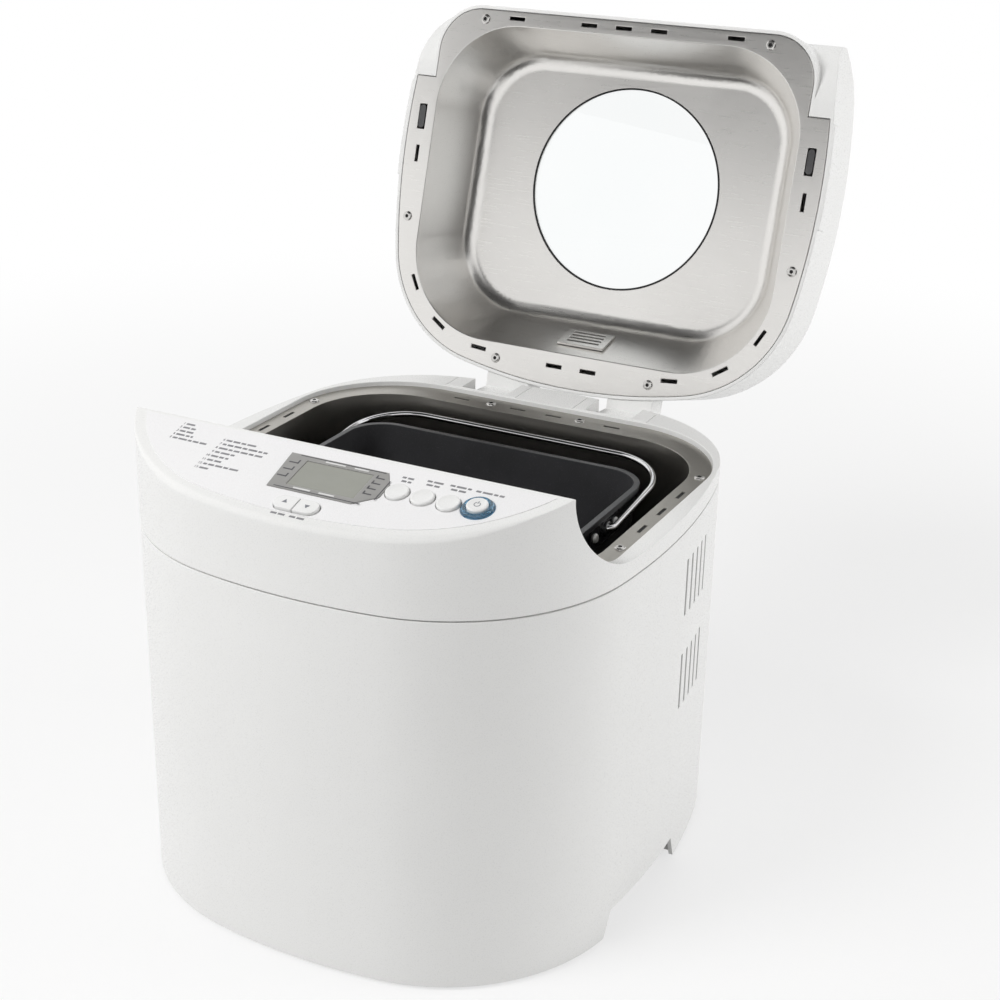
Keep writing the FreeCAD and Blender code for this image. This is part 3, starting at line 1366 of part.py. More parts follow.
def motor():
    node("drive_belt", cut("drive_belt", belt_loop("belt_outer", "belt_gap + belt_wall"),
                           belt_loop("belt_inner", "belt_gap")))
    can = rod("motor_can", "motor_radius", 0, "motor_y", ("chassis_top", "motor_top"))
    cap = rod("motor_cap", "motor_radius / 2", 0, "motor_y", ("motor_top", "motor_top + fan_gap / 2"))
    bore = rod("motor_bore", "motor_shaft_radius + run_gap", 0, "motor_y", ("0", f"{FAR}"))
    node("motor", cut("motor", join("motor_body", can, cap), bore))
    fan_low = "motor_top + fan_gap"
    node("motor_shaft", rod("motor_shaft", "motor_shaft_radius", 0, "motor_y",
                            ("pulley_bottom - shell_wall", f"{fan_low} + fan_height")))
    node("small_pulley", pulley("small_pulley", "small_pulley_radius", "motor_shaft_radius", "motor_y"))
    pieces = [rod("fan_hub", "motor_shaft_radius * 2", 0, "motor_y", (fan_low, f"{fan_low} + fan_height")),
              rod("fan_disc", "fan_radius", 0, "motor_y", (fan_low, f"{fan_low} + pulley_cheek"))]
    count = int(value("fan_blades"))
    for number in range(count):
        blade = doc.addObject("Part::Box", f"fan_blade_{number}")
        bind(blade, Length="fan_radius - motor_shaft_radius * 1.5", Width="pulley_cheek", Height="fan_height")
        rotation = FreeCAD.Rotation(FreeCAD.Vector(0, 0, 1), 360 / count * number)
        corner = FreeCAD.Vector(value("motor_shaft_radius * 1.5"), -value("pulley_cheek") / 2, 0)
        middle = FreeCAD.Vector(0, value("motor_y"), value(fan_low))
        blade.Placement = FreeCAD.Placement(middle + rotation.multVec(corner), rotation)
        pieces.append(blade)
    fan_bore = rod("fan_bore", "motor_shaft_radius", 0, "motor_y", ("0", f"{FAR}"))
    node("motor_fan", cut("motor_fan", join("fan_body", *pieces), fan_bore))


def power_places():
    reach_x, reach_y = "power_half_x - post_radius", "power_half_y - post_radius"
    return [(f"-power_x + {side} * ({reach_x})", f"oven_y + {end} * ({reach_y})")
            for side in SIDES for end in SIDES]


def power_parts():
    low = "base_top + power_stand"
    high = f"{low} + board_wall"
    node("power_board", group("power_board", box(
        "power_slab", ("-power_x - power_half_x", "-power_x + power_half_x"),
        ("oven_y - power_half_y", "oven_y + power_half_y"), (low, high))))
    core = box("transformer_core", ("-power_x - transformer_half", "-power_x + transformer_half"),
               ("oven_y - transformer_half", "oven_y + transformer_half"), (high, f"{high} + core_height"))
    coil = box("transformer_coil", ("-power_x - transformer_half / 2", "-power_x + transformer_half / 2"),
               ("oven_y - coil_half", "oven_y + coil_half"),
               (high, f"{high} + transformer_height"))
    node("transformer", join("transformer", core, coil))
    node("motor_capacitor", group("motor_capacitor", rod(
        "capacitor_can", "capacitor_radius", "capacitor_x", "capacitor_y",
        ("base_top", "base_top + capacitor_height"))))


# Lid, drawn closed

def lid_space(name, inset, z, edge_round=None):
    # The lid's plan, cut off at its front and round the housing's raised cheeks.
    whole = plan(name + "_plan", z, inset, rear="lid_rear", rear_corner="lid_rear_corner")

    def on_top(edge):
        return abs(edge.BoundBox.ZMin - value(z[1])) < TOUCH

    if edge_round:
        whole = soften(name + "_soft", whole, edge_round, on_top)
    front = box(name + "_front", (f"-{FAR}", f"{FAR}"), (f"-{FAR}", f"lid_front + {inset}"),
                ("0", f"{FAR} * 2"))
    high = "lid_top + lid_crown"
    corner = box(name + "_corner", (f"-{FAR}", f"{FAR}"), (f"-{FAR}", f"cheek_y + {inset}"), ("0", high))
    round_part = rod_x(name + "_round", f"tip_rise - lid_front_gap - ({inset})",
                       (f"-{FAR} - 1", f"{FAR} + 1"), f"cheek_y + {inset}", "tip")
    over = box(name + "_over", (f"-{FAR}", f"{FAR}"), (f"lid_front + {inset}", f"{FAR}"), ("tip", high))
    nose = block(name + "_nose", ("0", high), f"lid_step_x - ({inset})", f"lid_front + {inset}", f"{FAR}",
                 f"lid_corner - ({inset})", "lid_corner")
    return cut(name, whole, front, cut(name + "_cheeks", corner, round_part, over, nose))


def lid_screw_places():
    places = []
    for side in SIDES:
        places.append((f"{side} * lid_screw_x", "lid_front + lid_screw_front"))
        places.append((f"{side} * (body_half_width - lid_screw_side)", "lid_screw_y"))
        places.append((f"{side} * lid_screw_rear_x", "lid_rear - lid_screw_rear"))
    return places


def lid_shell():
    outer = lid_space("lid_outer", "0", ("lid_bottom", "lid_top"), "lid_edge_round")
    grip_z = ("lid_bottom", "lid_bottom + grip_height")
    grip_plan = plan("grip_plan", grip_z, "-grip_depth", rear="lid_rear", rear_corner="lid_rear_corner")
    grip = common("lid_grip", grip_plan,
                  box("grip_span", (f"-{FAR}", f"{FAR}"), ("-grip_front", "grip_rear"), grip_z))
    inner = lid_space("lid_inner", "lid_wall", ("0", "lid_top - lid_wall"))
    post_z = ("lid_bottom + sheet", "lid_top - lid_wall / 2")
    posts = [rod(f"lid_post_{number}", "screw_radius * 2", x, y, post_z)
             for number, (x, y) in enumerate(lid_screw_places())]
    window = rod("shell_window", "window_radius", 0, "window_y", ("0", f"{FAR} * 2"))
    holes = screw_holes("lid_post_hole", lid_screw_places(), ("0", "lid_bottom + sheet + screw_length"))
    body = join("lid_body", cut("lid_hollow", join("lid_whole", outer, grip), inner), *posts)
    node("lid_shell", opened(cut("lid_shell", body, window, group("lid_holes", *holes))))


def liner_section(z_share, grow):
    half = f"liner_half - liner_draw_x * {z_share} + ({grow})"
    front = f"liner_front + liner_draw_front * {z_share} - ({grow})"
    rear = f"liner_rear - liner_draw_rear * {z_share} + ({grow})"
    return (half, front, rear, f"liner_front_corner - liner_draw_front * {z_share} + ({grow})",
            f"liner_rear_corner - liner_draw_front * {z_share} + ({grow})")


def drawn_bowl(name, grow, top):
    bowl = loft(name + "_loft", [("lid_bottom", liner_section(0, grow)), (top, liner_section(1, grow))])

    def on_floor(edge):
        return abs(edge.BoundBox.ZMin - value(top)) < TOUCH
    return soften(name, bowl, f"liner_round + ({grow})", on_floor)


def lid_slots():
    places = []
    side_x = "body_half_width - slot_side"
    front_y = "lid_front + slot_front"
    small = ("slot_length", "slot_width")
    centre = corner_centre(True, "lid_rear_corner", "rear_radius", "lid_rear")
    reach = value("lid_rear_corner - slot_corner")
    places.append((0, front_y, 0, *small))
    for side in SIDES:
        for x in ("slot_inner_x", "slot_outer_x"):
            places.append((f"{side} * {x}", front_y, 0, *small))
        places.append((f"{side} * ({side_x})", "catch_y", 90, "catch_length", "catch_width"))
        places.append((f"{side} * ({side_x})", "0", 90, *small))
        places.append((f"{side} * slot_rear_x", "lid_rear - slot_rear", 0, *small))
        for degrees in SLOT_TURNS:
            angle = math.radians(degrees)
            x = side * (centre[0] + reach * math.sin(angle))
            places.append((x, centre[1] + reach * math.cos(angle), -side * degrees, *small))
    return flange_slots("lid_slot", places, ("lid_bottom - 1", "lid_bottom + sheet + 1"))


def lid_liner():
    brim = lid_space("liner_brim", "lid_wall + liner_fit", ("lid_bottom", "lid_bottom + sheet"))
    outer = drawn_bowl("liner_outer", "sheet", "liner_top")
    inner = drawn_bowl("liner_inner", "0", "liner_top - sheet")
    window = rod("liner_window", "window_radius", 0, "window_y", ("0", f"{FAR} * 2"))
    holes = screw_holes("liner_hole", lid_screw_places(), ("0", f"{FAR} * 2"))
    node("lid_liner", opened(cut("lid_liner", join("liner_body", brim, outer), inner, window, lid_slots(),
                                 group("liner_holes", *holes))))
    glass = rod("lid_glass", "window_radius + glass_lap", 0, "window_y", ("liner_top", "lid_top - lid_wall"))
    node("lid_window", opened(group("lid_window", glass)))
    gasket = cut("gasket_ring",
                 rod("gasket_outer", "window_radius + glass_lap + gasket_wall", 0, "window_y",
                     ("liner_top", "lid_top - lid_wall")),
                 rod("gasket_inner", "window_radius + glass_lap", 0, "window_y", ("0", f"{FAR} * 2")))
    node("window_gasket", opened(group("window_gasket", gasket)))
    node("lid_screws", opened(group("lid_screws", *[
        screw(f"lid_screw_{number}", x, y, "lid_bottom", 1)
        for number, (x, y) in enumerate(lid_screw_places())])))


def lid_vent():
    rise = value("liner_top - sheet - lid_bottom")
    lean = math.degrees(math.atan2(value("liner_draw_rear"), rise))
    slab = box("louvre_slab", ("-louvre_half_x", "louvre_half_x"), ("-louvre_wall - rest_gap", "-rest_gap"),
               ("-louvre_half_z", "louvre_half_z"))
    slits = []
    for number in range(int(value("louvre_count"))):
        z = f"louvre_half_z * ({number} - louvre_count / 2 + 0.5) * 2 / (louvre_count + 1)"
        slits.append(box(f"louvre_slit_{number}", ("-louvre_slit_half", "louvre_slit_half"),
                         ("-louvre_wall * 2", "louvre_wall"), (z, f"{z} + louvre_slit")))
    piece = cut("louvre_flat", slab, group("louvre_slits", *slits))
    turn(piece, FreeCAD.Vector(1, 0, 0), lean)
    move(piece, 0, "liner_rear - liner_draw_rear * louvre_share",
         "lid_bottom + (liner_top - sheet - lid_bottom) * louvre_share")
    node("lid_vent", opened(group("lid_vent", piece)))


# Hinge

def hinge():
    span = ("arm_inner_x", "arm_outer_x")
    link_part = profile("arm_link", span, [
        ("hinge_y - knuckle_radius", "hinge_z"), ("hinge_y - knuckle_radius * 1.6", "lid_bottom + sheet"),
        ("lid_rear - arm_rise", "lid_bottom + sheet"), ("lid_rear - arm_rise", "lid_bottom + arm_rise"),
        ("lid_rear + knuckle_radius", "lid_bottom + arm_rise"), ("hinge_y + knuckle_radius", "hinge_z")])
    knuckle = rod_x("arm_knuckle", "knuckle_radius", span, "hinge_y", "hinge_z")
    lid_body = plan("arm_lid", ("lid_bottom", "lid_top"), rear="lid_rear", rear_corner="lid_rear_corner")
    pin_hole = rod_x("arm_hole", "pin_radius", ("0", f"{FAR}"), "hinge_y", "hinge_z")
    arm = cut("hinge_arm", join("arm_body", link_part, knuckle), lid_body, pin_hole)
    node("hinge_arms", opened(group("hinge_arms", arm, mirrored("hinge_arm_left", arm))))
    rod_span = ("mount_inner_x + slip_fit * 5", "mount_outer_x - slip_fit * 5")
    pin_span = (f"{rod_span[0]} + rest_gap", f"{rod_span[1]} - rest_gap")
    hinge_pin = rod_x("hinge_pin", "pin_radius", pin_span, "hinge_y", "hinge_z")
    node("hinge_pins", opened(group("hinge_pins", hinge_pin, mirrored("hinge_pin_left", hinge_pin))))
    mount_box = box("mount_box", ("mount_inner_x", "mount_outer_x"), ("mount_front", f"{FAR}"),
                    ("mount_low", "rim"))
    blank = common("mount_blank", mount_box, plan("mount_plan", ("0", f"rim + {FAR}"), "slip_fit"))
    pocket = box("mount_pocket", ("arm_inner_x - arm_gap", "arm_outer_x + arm_gap"),
                 ("mount_front + pocket_wall", f"{FAR}"), ("mount_low + mount_floor", f"{FAR} * 2"))
    bore = rod_x("mount_bore", "pin_radius + run_gap", rod_span, "hinge_y", "hinge_z")
    mount = cut("hinge_mount", blank, pocket, bore)
    node("hinge_mounts", group("hinge_mounts", mount, mirrored("hinge_mount_left", mount)))


lower_housing()
top_housing()
base_plate()
rubber_feet()
cord_inlet()
control_panel()
buttons()
control_board()
oven_chamber()
heating_element()
temperature_sensor()
pan_seat()
bread_pan()
pan_fittings()
spindle()
kneading_paddle()
bail_handle()
bail_brackets()
drive_chassis()
drive()
motor()
power_parts()
lid_shell()
lid_liner()
lid_vent()
hinge()
doc.recompute()

faults = []
for obj in doc.Objects:
    if "Invalid" in obj.State or "Error" in obj.State:
        faults.append(f"{obj.Name}: {obj.State}")
for name, obj in nodes.items():
    if obj.Shape.isNull() or not obj.Shape.isValid():
        faults.append(f"{name}: shape is null or not valid")
if faults:
    raise SystemExit("\n".join(faults))
to_origin = FreeCAD.Vector(0, -value("origin_setback"), 0)
for name, obj in nodes.items():
    shape = obj.Shape.copy()
    shape.translate(to_origin)
    shape.exportStep(f"parts/{name}.step")
    print(f"{name}: {len(shape.Solids)} solids, {shape.Volume / 1000:.1f} cm3")
print(len(nodes), "nodes")
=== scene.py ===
import json
import math
import bmesh
import bpy
from mathutils import Matrix, Quaternion, Vector


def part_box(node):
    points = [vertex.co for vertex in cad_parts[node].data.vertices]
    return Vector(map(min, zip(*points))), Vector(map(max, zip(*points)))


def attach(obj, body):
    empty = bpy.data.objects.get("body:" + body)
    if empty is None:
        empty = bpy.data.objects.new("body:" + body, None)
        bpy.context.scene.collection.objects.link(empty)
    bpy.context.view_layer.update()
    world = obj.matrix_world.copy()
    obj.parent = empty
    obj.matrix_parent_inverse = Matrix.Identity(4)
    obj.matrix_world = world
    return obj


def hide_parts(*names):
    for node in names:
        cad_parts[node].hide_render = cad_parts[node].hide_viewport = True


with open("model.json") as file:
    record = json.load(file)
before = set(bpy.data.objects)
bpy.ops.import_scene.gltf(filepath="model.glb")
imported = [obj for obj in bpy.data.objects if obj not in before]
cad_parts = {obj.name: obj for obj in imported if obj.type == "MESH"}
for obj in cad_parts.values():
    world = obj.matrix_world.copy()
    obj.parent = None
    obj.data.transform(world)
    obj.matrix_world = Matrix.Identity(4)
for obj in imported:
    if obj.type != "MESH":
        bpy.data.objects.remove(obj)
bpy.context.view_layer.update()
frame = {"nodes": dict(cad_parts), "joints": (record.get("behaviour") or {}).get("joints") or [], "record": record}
mm = 0.001
record = frame["record"]
bodyOf = {}
for bodyName, members in record["behaviour"]["bodies"].items():
    for member in members:
        bodyOf[member] = bodyName
print("frame loaded:", len(frame["nodes"]), "nodes")

# places: the sloped panel and the open lid, both read from the frame
panelKey = {"slope": 15, "seatFit": 0.5 * mm, "bodyFront": 178.8 * mm}
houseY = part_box("lower_housing")[0].y + panelKey["bodyFront"]  # y of the housing's own middle
ovenLow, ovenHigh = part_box("oven_chamber")
topLow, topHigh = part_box("top_housing")
panelTurn = Matrix.Rotation(math.radians(panelKey["slope"]), 4, "X")
panelPlace = Matrix.Translation((0, ovenLow.y - panelKey["seatFit"], topHigh.z)) @ panelTurn
fromPanel = panelPlace.inverted()
lidJoint = next(row for row in frame["joints"] if row["name"] == "lid_hinge")
lidPivot = Vector(lidJoint["pos_m"])
lidTurn = Matrix.Rotation(-math.radians(lidJoint["range_deg"][0]), 4, Vector(lidJoint["axis"]))
lidPlace = Matrix.Translation(lidPivot) @ lidTurn @ Matrix.Translation(-lidPivot)  # closed lid to open lid
fromLid = lidPlace.inverted()


def panelSpot(x, s, lift=0.0):  # mm across, mm down the slope, mm above it
    return panelPlace @ Matrix.Translation((x * mm, -s * mm, lift * mm))


def addObject(name, data):
    piece = bpy.data.objects.new(name, data)
    bpy.context.collection.objects.link(piece)
    return piece


def standIn(piece, node):  # shows in place of a CAD piece, on its body
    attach(piece, bodyOf[node])
    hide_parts(node)


# shader groups shared by the finishes

def newTree(name, kind, inputs, outputs):  # a node group with its sockets and its two end nodes
    tree = bpy.data.node_groups.new(name, kind)
    for way, sockets in (("INPUT", inputs), ("OUTPUT", outputs)):
        for label, socket in sockets.items():
            tree.interface.new_socket(label, in_out=way, socket_type=socket)
    return tree, tree.nodes.new("NodeGroupInput"), tree.nodes.new("NodeGroupOutput")


def addNode(tree, kind, **settings):
    node = tree.nodes.new(kind)
    for key, setting in settings.items():
        setattr(node, key, setting)
    return node


colourSocket = "NodeSocketColor"
valueSocket = "NodeSocketFloat"
vectorSocket = "NodeSocketVector"
finishSocket = "NodeSocketMaterial"
shapeSocket = "NodeSocketGeometry"
noiseKey = {"cloudDetail": 5.0, "cloudRough": 0.6, "grainDetail": 3.0, "low": 0.3, "high": 0.7,
            "bump": 0.2 * mm}
mixKey = {"share": 0, "first": 6, "second": 7, "result": 2}  # a mix node's sockets for colours


def spreadNoise(group, noise):  # the middle part of a noise over the whole range
    spread = addNode(group, "ShaderNodeMapRange")
    spread.inputs["From Min"].default_value = noiseKey["low"]
    spread.inputs["From Max"].default_value = noiseKey["high"]
    group.links.new(noise.outputs[0], spread.inputs["Value"])
    return spread


def mixColours(tree, share, first):  # gives the socket of the second colour, and the result
    mix = addNode(tree, "ShaderNodeMix", data_type="RGBA")
    tree.links.new(share, mix.inputs[mixKey["share"]])
    tree.links.new(first, mix.inputs[mixKey["first"]])
    return mix.inputs[mixKey["second"]], mix.outputs[mixKey["result"]]


def makeTintGroup():  # drifts between two near colours
    group, into, out = newTree("softTint", "ShaderNodeTree", {
        "Light": colourSocket, "Dark": colourSocket, "Scale": valueSocket}, {"Color": colourSocket})
    coord = addNode(group, "ShaderNodeTexCoord")
    noise = addNode(group, "ShaderNodeTexNoise")
    noise.inputs["Detail"].default_value = noiseKey["cloudDetail"]
    noise.inputs["Roughness"].default_value = noiseKey["cloudRough"]
    spread = spreadNoise(group, noise)
    second, result = mixColours(group, spread.outputs["Result"], into.outputs["Light"])
    link = group.links.new
    link(coord.outputs["Object"], noise.inputs["Vector"])
    link(into.outputs["Scale"], noise.inputs["Scale"])
    link(into.outputs["Dark"], second)
    link(result, out.inputs["Color"])
    return group


def makeGrainGroup():  # stretched grain: roughness between two values and a fine bump
    group, into, out = newTree("fineGrain", "ShaderNodeTree", {
        "Stretch": vectorSocket, "Scale": valueSocket, "Smooth": valueSocket, "Rough": valueSocket,
        "Depth": valueSocket}, {"Roughness": valueSocket, "Normal": vectorSocket})
    coord = addNode(group, "ShaderNodeTexCoord")
    mapping = addNode(group, "ShaderNodeMapping")
    noise = addNode(group, "ShaderNodeTexNoise")
    noise.inputs["Detail"].default_value = noiseKey["grainDetail"]
    spread = spreadNoise(group, noise)
    bump = addNode(group, "ShaderNodeBump")
    bump.inputs["Distance"].default_value = noiseKey["bump"]
    link = group.links.new
    link(coord.outputs["Object"], mapping.inputs["Vector"])
    link(into.outputs["Stretch"], mapping.inputs["Scale"])
    link(mapping.outputs["Vector"], noise.inputs["Vector"])
    link(into.outputs["Scale"], noise.inputs["Scale"])
    link(into.outputs["Smooth"], spread.inputs["To Min"])
    link(into.outputs["Rough"], spread.inputs["To Max"])
    link(noise.outputs[0], bump.inputs["Height"])
    link(into.outputs["Depth"], bump.inputs["Strength"])
    link(spread.outputs["Result"], out.inputs["Roughness"])
    link(bump.outputs["Normal"], out.inputs["Normal"])
    return group


def makeFleckGroup():  # scattered specks, as in a non-stick coat or a casting
    group, into, out = newTree("fleck", "ShaderNodeTree", {
        "Scale": valueSocket, "Amount": valueSocket}, {"Mask": valueSocket})
    coord = addNode(group, "ShaderNodeTexCoord")
    cells = addNode(group, "ShaderNodeTexVoronoi")
    pick = addNode(group, "ShaderNodeMath", operation="LESS_THAN")
    link = group.links.new
    link(coord.outputs["Object"], cells.inputs["Vector"])
    link(into.outputs["Scale"], cells.inputs["Scale"])
    link(cells.outputs["Distance"], pick.inputs[0])
    link(into.outputs["Amount"], pick.inputs[1])
    link(pick.outputs[0], out.inputs["Mask"])
    return group


tintGroup = makeTintGroup()
grainGroup = makeGrainGroup()
fleckGroup = makeFleckGroup()
print("shader groups made")


def useGroup(tree, group, **values):
    node = addNode(tree, "ShaderNodeGroup", node_tree=group)
    for label, setting in values.items():
        node.inputs[label].default_value = setting
    return node


plainLook = {"stretch": (1, 1, 1), "metal": 0.0, "coat": 0.0, "coatRough": 0.1, "shine": 0.5, "clear": 0.0,
             "ior": 1.5, "drawn": 0.0}  # what a finish has unless it says otherwise
shaderSockets = {"metal": "Metallic", "coat": "Coat Weight", "coatRough": "Coat Roughness",
                 "shine": "Specular IOR Level", "clear": "Transmission Weight", "ior": "IOR",
                 "drawn": "Anisotropic"}


def finish(name, own):  # one finish from its own dictionary of looks
    look = {**plainLook, **own}
    material = bpy.data.materials.new(name)
    material.use_nodes = True
    tree = material.node_tree
    shader = tree.nodes["Principled BSDF"]
    tint = useGroup(tree, tintGroup, Light=(*look["light"], 1), Dark=(*look["dark"], 1), Scale=look["cloud"])
    grain = useGroup(tree, grainGroup, Stretch=look["stretch"], Scale=look["grain"],
                     Smooth=look["smooth"], Rough=look["rough"], Depth=look["depth"])
    colour = tint.outputs["Color"]
    if "fleck" in look:
        fleck = useGroup(tree, fleckGroup, Scale=look["fleckScale"], Amount=look["fleckAmount"])
        second, colour = mixColours(tree, fleck.outputs["Mask"], colour)
        second.default_value = (*look["fleck"], 1)
    tree.links.new(colour, shader.inputs["Base Color"])
    tree.links.new(grain.outputs["Roughness"], shader.inputs["Roughness"])
    tree.links.new(grain.outputs["Normal"], shader.inputs["Normal"])
    for key, socket in shaderSockets.items():
        shader.inputs[socket].default_value = look[key]
    return material


printLook = {"cloud": 90, "grain": 4000, "smooth": 0.4, "rough": 0.55, "depth": 0.05}
finishes = {
    "shellWhite": {"light": (0.83, 0.83, 0.82), "dark": (0.80, 0.80, 0.79), "cloud": 5, "grain": 1500,
                   "smooth": 0.24, "rough": 0.36, "depth": 0.03, "coat": 0.1, "coatRough": 0.15},
    "keyWhite": {"light": (0.84, 0.84, 0.835), "dark": (0.81, 0.81, 0.80), "cloud": 40, "grain": 2200,
                 "smooth": 0.2, "rough": 0.3, "depth": 0.02, "coat": 0.2},
    "filmWhite": {"light": (0.86, 0.855, 0.86), "dark": (0.84, 0.835, 0.84), "cloud": 12, "grain": 3000,
                  "smooth": 0.22, "rough": 0.34, "depth": 0.05},
    "baseGrey": {"light": (0.62, 0.62, 0.61), "dark": (0.57, 0.57, 0.56), "cloud": 9, "grain": 900,
                 "smooth": 0.42, "rough": 0.58, "depth": 0.2},
    "rubberDark": {"light": (0.035, 0.035, 0.036), "dark": (0.02, 0.02, 0.021), "cloud": 60, "grain": 1200,
                   "smooth": 0.6, "rough": 0.8, "depth": 0.25, "shine": 0.3},
    "bezelGrey": {"light": (0.36, 0.355, 0.345), "dark": (0.32, 0.315, 0.305), "cloud": 50, "grain": 2600,
                  "smooth": 0.28, "rough": 0.4, "depth": 0.08, "metal": 0.25},
    "screenGrey": {"light": (0.285, 0.29, 0.255), "dark": (0.255, 0.26, 0.225), "cloud": 30, "grain": 3500,
                   "smooth": 0.14, "rough": 0.22, "depth": 0.01, "coat": 0.4, "coatRough": 0.05},
    "printGrey": {**printLook, "light": (0.10, 0.10, 0.11), "dark": (0.07, 0.07, 0.075)},
    "textGrey": {**printLook, "light": (0.27, 0.27, 0.28), "dark": (0.2, 0.2, 0.21)},
    # dark grey painted shade, behind the slots in the lid's flange
    "slotShadeGrey": {"light": (0.09, 0.09, 0.092), "dark": (0.06, 0.06, 0.062), "cloud": 90, "grain": 1500,
                  "smooth": 0.35, "rough": 0.5, "depth": 0.1},
    "paleMark": {**printLook, "light": (0.72, 0.72, 0.71), "dark": (0.66, 0.66, 0.65)},
    "keyMark": {**printLook, "light": (0.25, 0.26, 0.28), "dark": (0.2, 0.21, 0.23)},
    "ringBlue": {"light": (0.38, 0.66, 0.86), "dark": (0.26, 0.53, 0.76), "cloud": 30, "grain": 2500,
                 "smooth": 0.03, "rough": 0.06, "depth": 0.005, "clear": 0.85, "ior": 1.49, "coat": 0.3},
    "circuitGreen": {"light": (0.03, 0.17, 0.07), "dark": (0.015, 0.11, 0.045), "cloud": 140, "grain": 700,
                     "smooth": 0.3, "rough": 0.45, "depth": 0.2, "fleck": (0.6, 0.58, 0.5),
                     "fleckScale": 260, "fleckAmount": 0.16},
    "blackPlastic": {"light": (0.03, 0.03, 0.031), "dark": (0.018, 0.018, 0.019), "cloud": 40, "grain": 1300,
                     "smooth": 0.35, "rough": 0.5, "depth": 0.15},
    "screwSteel": {"light": (0.74, 0.73, 0.71), "dark": (0.6, 0.59, 0.57), "cloud": 200, "grain": 900,
                   "smooth": 0.18, "rough": 0.32, "depth": 0.05, "metal": 1.0},
    # near black painted shade, for the insides of screw sockets and behind the chamber's slots
    "paintedShadeDark": {"light": (0.02, 0.02, 0.02), "dark": (0.012, 0.012, 0.012), "cloud": 200, "grain": 900,
                   "smooth": 0.5, "rough": 0.7, "depth": 0.05},
    "ovenSteel": {"light": (0.52, 0.50, 0.46), "dark": (0.42, 0.405, 0.375), "cloud": 14, "grain": 900,
                  "smooth": 0.28, "rough": 0.42, "depth": 0.015, "metal": 1.0},
    "elementSteel": {"light": (0.11, 0.10, 0.095), "dark": (0.05, 0.045, 0.042), "cloud": 120, "grain": 900,
                     "smooth": 0.42, "rough": 0.62, "depth": 0.2, "metal": 0.6},
    "ceramic": {"light": (0.74, 0.71, 0.65), "dark": (0.66, 0.63, 0.57), "cloud": 60, "grain": 1500,
                "smooth": 0.4, "rough": 0.6, "depth": 0.15},
    "panCoat": {"light": (0.042, 0.042, 0.045), "dark": (0.03, 0.03, 0.032), "cloud": 25, "grain": 1700,
                "smooth": 0.3, "rough": 0.44, "depth": 0.12, "coat": 0.15, "coatRough": 0.25,
                "fleck": (0.11, 0.11, 0.115), "fleckScale": 900, "fleckAmount": 0.14},
    "castAlloy": {"light": (0.62, 0.62, 0.61), "dark": (0.5, 0.5, 0.49), "cloud": 45, "grain": 1400,
                  "smooth": 0.38, "rough": 0.55, "depth": 0.3, "metal": 1.0},
    "bronze": {"light": (0.58, 0.40, 0.20), "dark": (0.45, 0.30, 0.14), "cloud": 80, "grain": 1600,
               "smooth": 0.32, "rough": 0.48, "depth": 0.15, "metal": 1.0},
    "wireChrome": {"light": (0.80, 0.80, 0.81), "dark": (0.72, 0.72, 0.73), "cloud": 60, "grain": 900,
                   "smooth": 0.07, "rough": 0.14, "depth": 0.02, "metal": 1.0},
    "bracketBlack": {"light": (0.03, 0.03, 0.033), "dark": (0.02, 0.02, 0.022), "cloud": 60, "grain": 900,
                     "smooth": 0.12, "rough": 0.22, "depth": 0.05, "coat": 0.5, "coatRough": 0.06},
    "rivetBright": {"light": (0.9, 0.9, 0.89), "dark": (0.84, 0.84, 0.83), "cloud": 90, "grain": 1100,
                    "smooth": 0.3, "rough": 0.42, "depth": 0.02, "metal": 0.35},
    "zincSheet": {"light": (0.56, 0.57, 0.58), "dark": (0.44, 0.45, 0.46), "cloud": 70, "grain": 300,
                  "smooth": 0.3, "rough": 0.5, "depth": 0.05, "metal": 1.0, "fleck": (0.64, 0.65, 0.66),
                  "fleckScale": 90, "fleckAmount": 0.35},
    "groundSteel": {"light": (0.66, 0.66, 0.66), "dark": (0.55, 0.55, 0.55), "cloud": 90, "grain": 1200,
                    "stretch": (1, 1, 0.05), "smooth": 0.16, "rough": 0.3, "depth": 0.06, "metal": 1.0},
    "motorPaint": {"light": (0.16, 0.165, 0.17), "dark": (0.11, 0.115, 0.12), "cloud": 30, "grain": 900,
                   "smooth": 0.35, "rough": 0.5, "depth": 0.15, "metal": 0.4},
    "coreSteel": {"light": (0.2, 0.18, 0.165), "dark": (0.1, 0.09, 0.085), "cloud": 50, "grain": 900,
                  "stretch": (0.05, 0.05, 1), "smooth": 0.4, "rough": 0.6, "depth": 0.5, "metal": 0.5},
    "canGrey": {"light": (0.45, 0.46, 0.48), "dark": (0.4, 0.41, 0.43), "cloud": 40, "grain": 1100,
                "smooth": 0.4, "rough": 0.55, "depth": 0.1},
    "linerSteel": {"light": (0.86, 0.845, 0.82), "dark": (0.80, 0.785, 0.76), "cloud": 7, "grain": 2600,
                   "stretch": (0.02, 1, 1), "smooth": 0.27, "rough": 0.33, "depth": 0.005, "metal": 1.0,
                   "drawn": 0.3},
    "flangeSteel": {"light": (0.76, 0.745, 0.72), "dark": (0.68, 0.665, 0.64), "cloud": 11, "grain": 2200,
                    "stretch": (0.03, 1, 1), "smooth": 0.19, "rough": 0.26, "depth": 0.006, "metal": 1.0},
    # the chamber's steel walls coloured near black: painted shade, with painted dark reflections inside the
    # chamber
    "ovenDark": {"light": (0.05, 0.047, 0.044), "dark": (0.03, 0.028, 0.026), "cloud": 18, "grain": 900,
                 "smooth": 0.36, "rough": 0.5, "depth": 0.08, "metal": 0.7},
    "windowGlass": {"light": (0.97, 0.98, 0.98), "dark": (0.95, 0.97, 0.97), "cloud": 8, "grain": 60,
                    "smooth": 0.0, "rough": 0.0, "depth": 0.0, "clear": 1.0, "ior": 1.45},
}
looks = {name: finish(name, look) for name, look in finishes.items()}
print("finishes made:", len(looks))


# dressed copies of the CAD pieces: merged, flat faces joined, edges eased

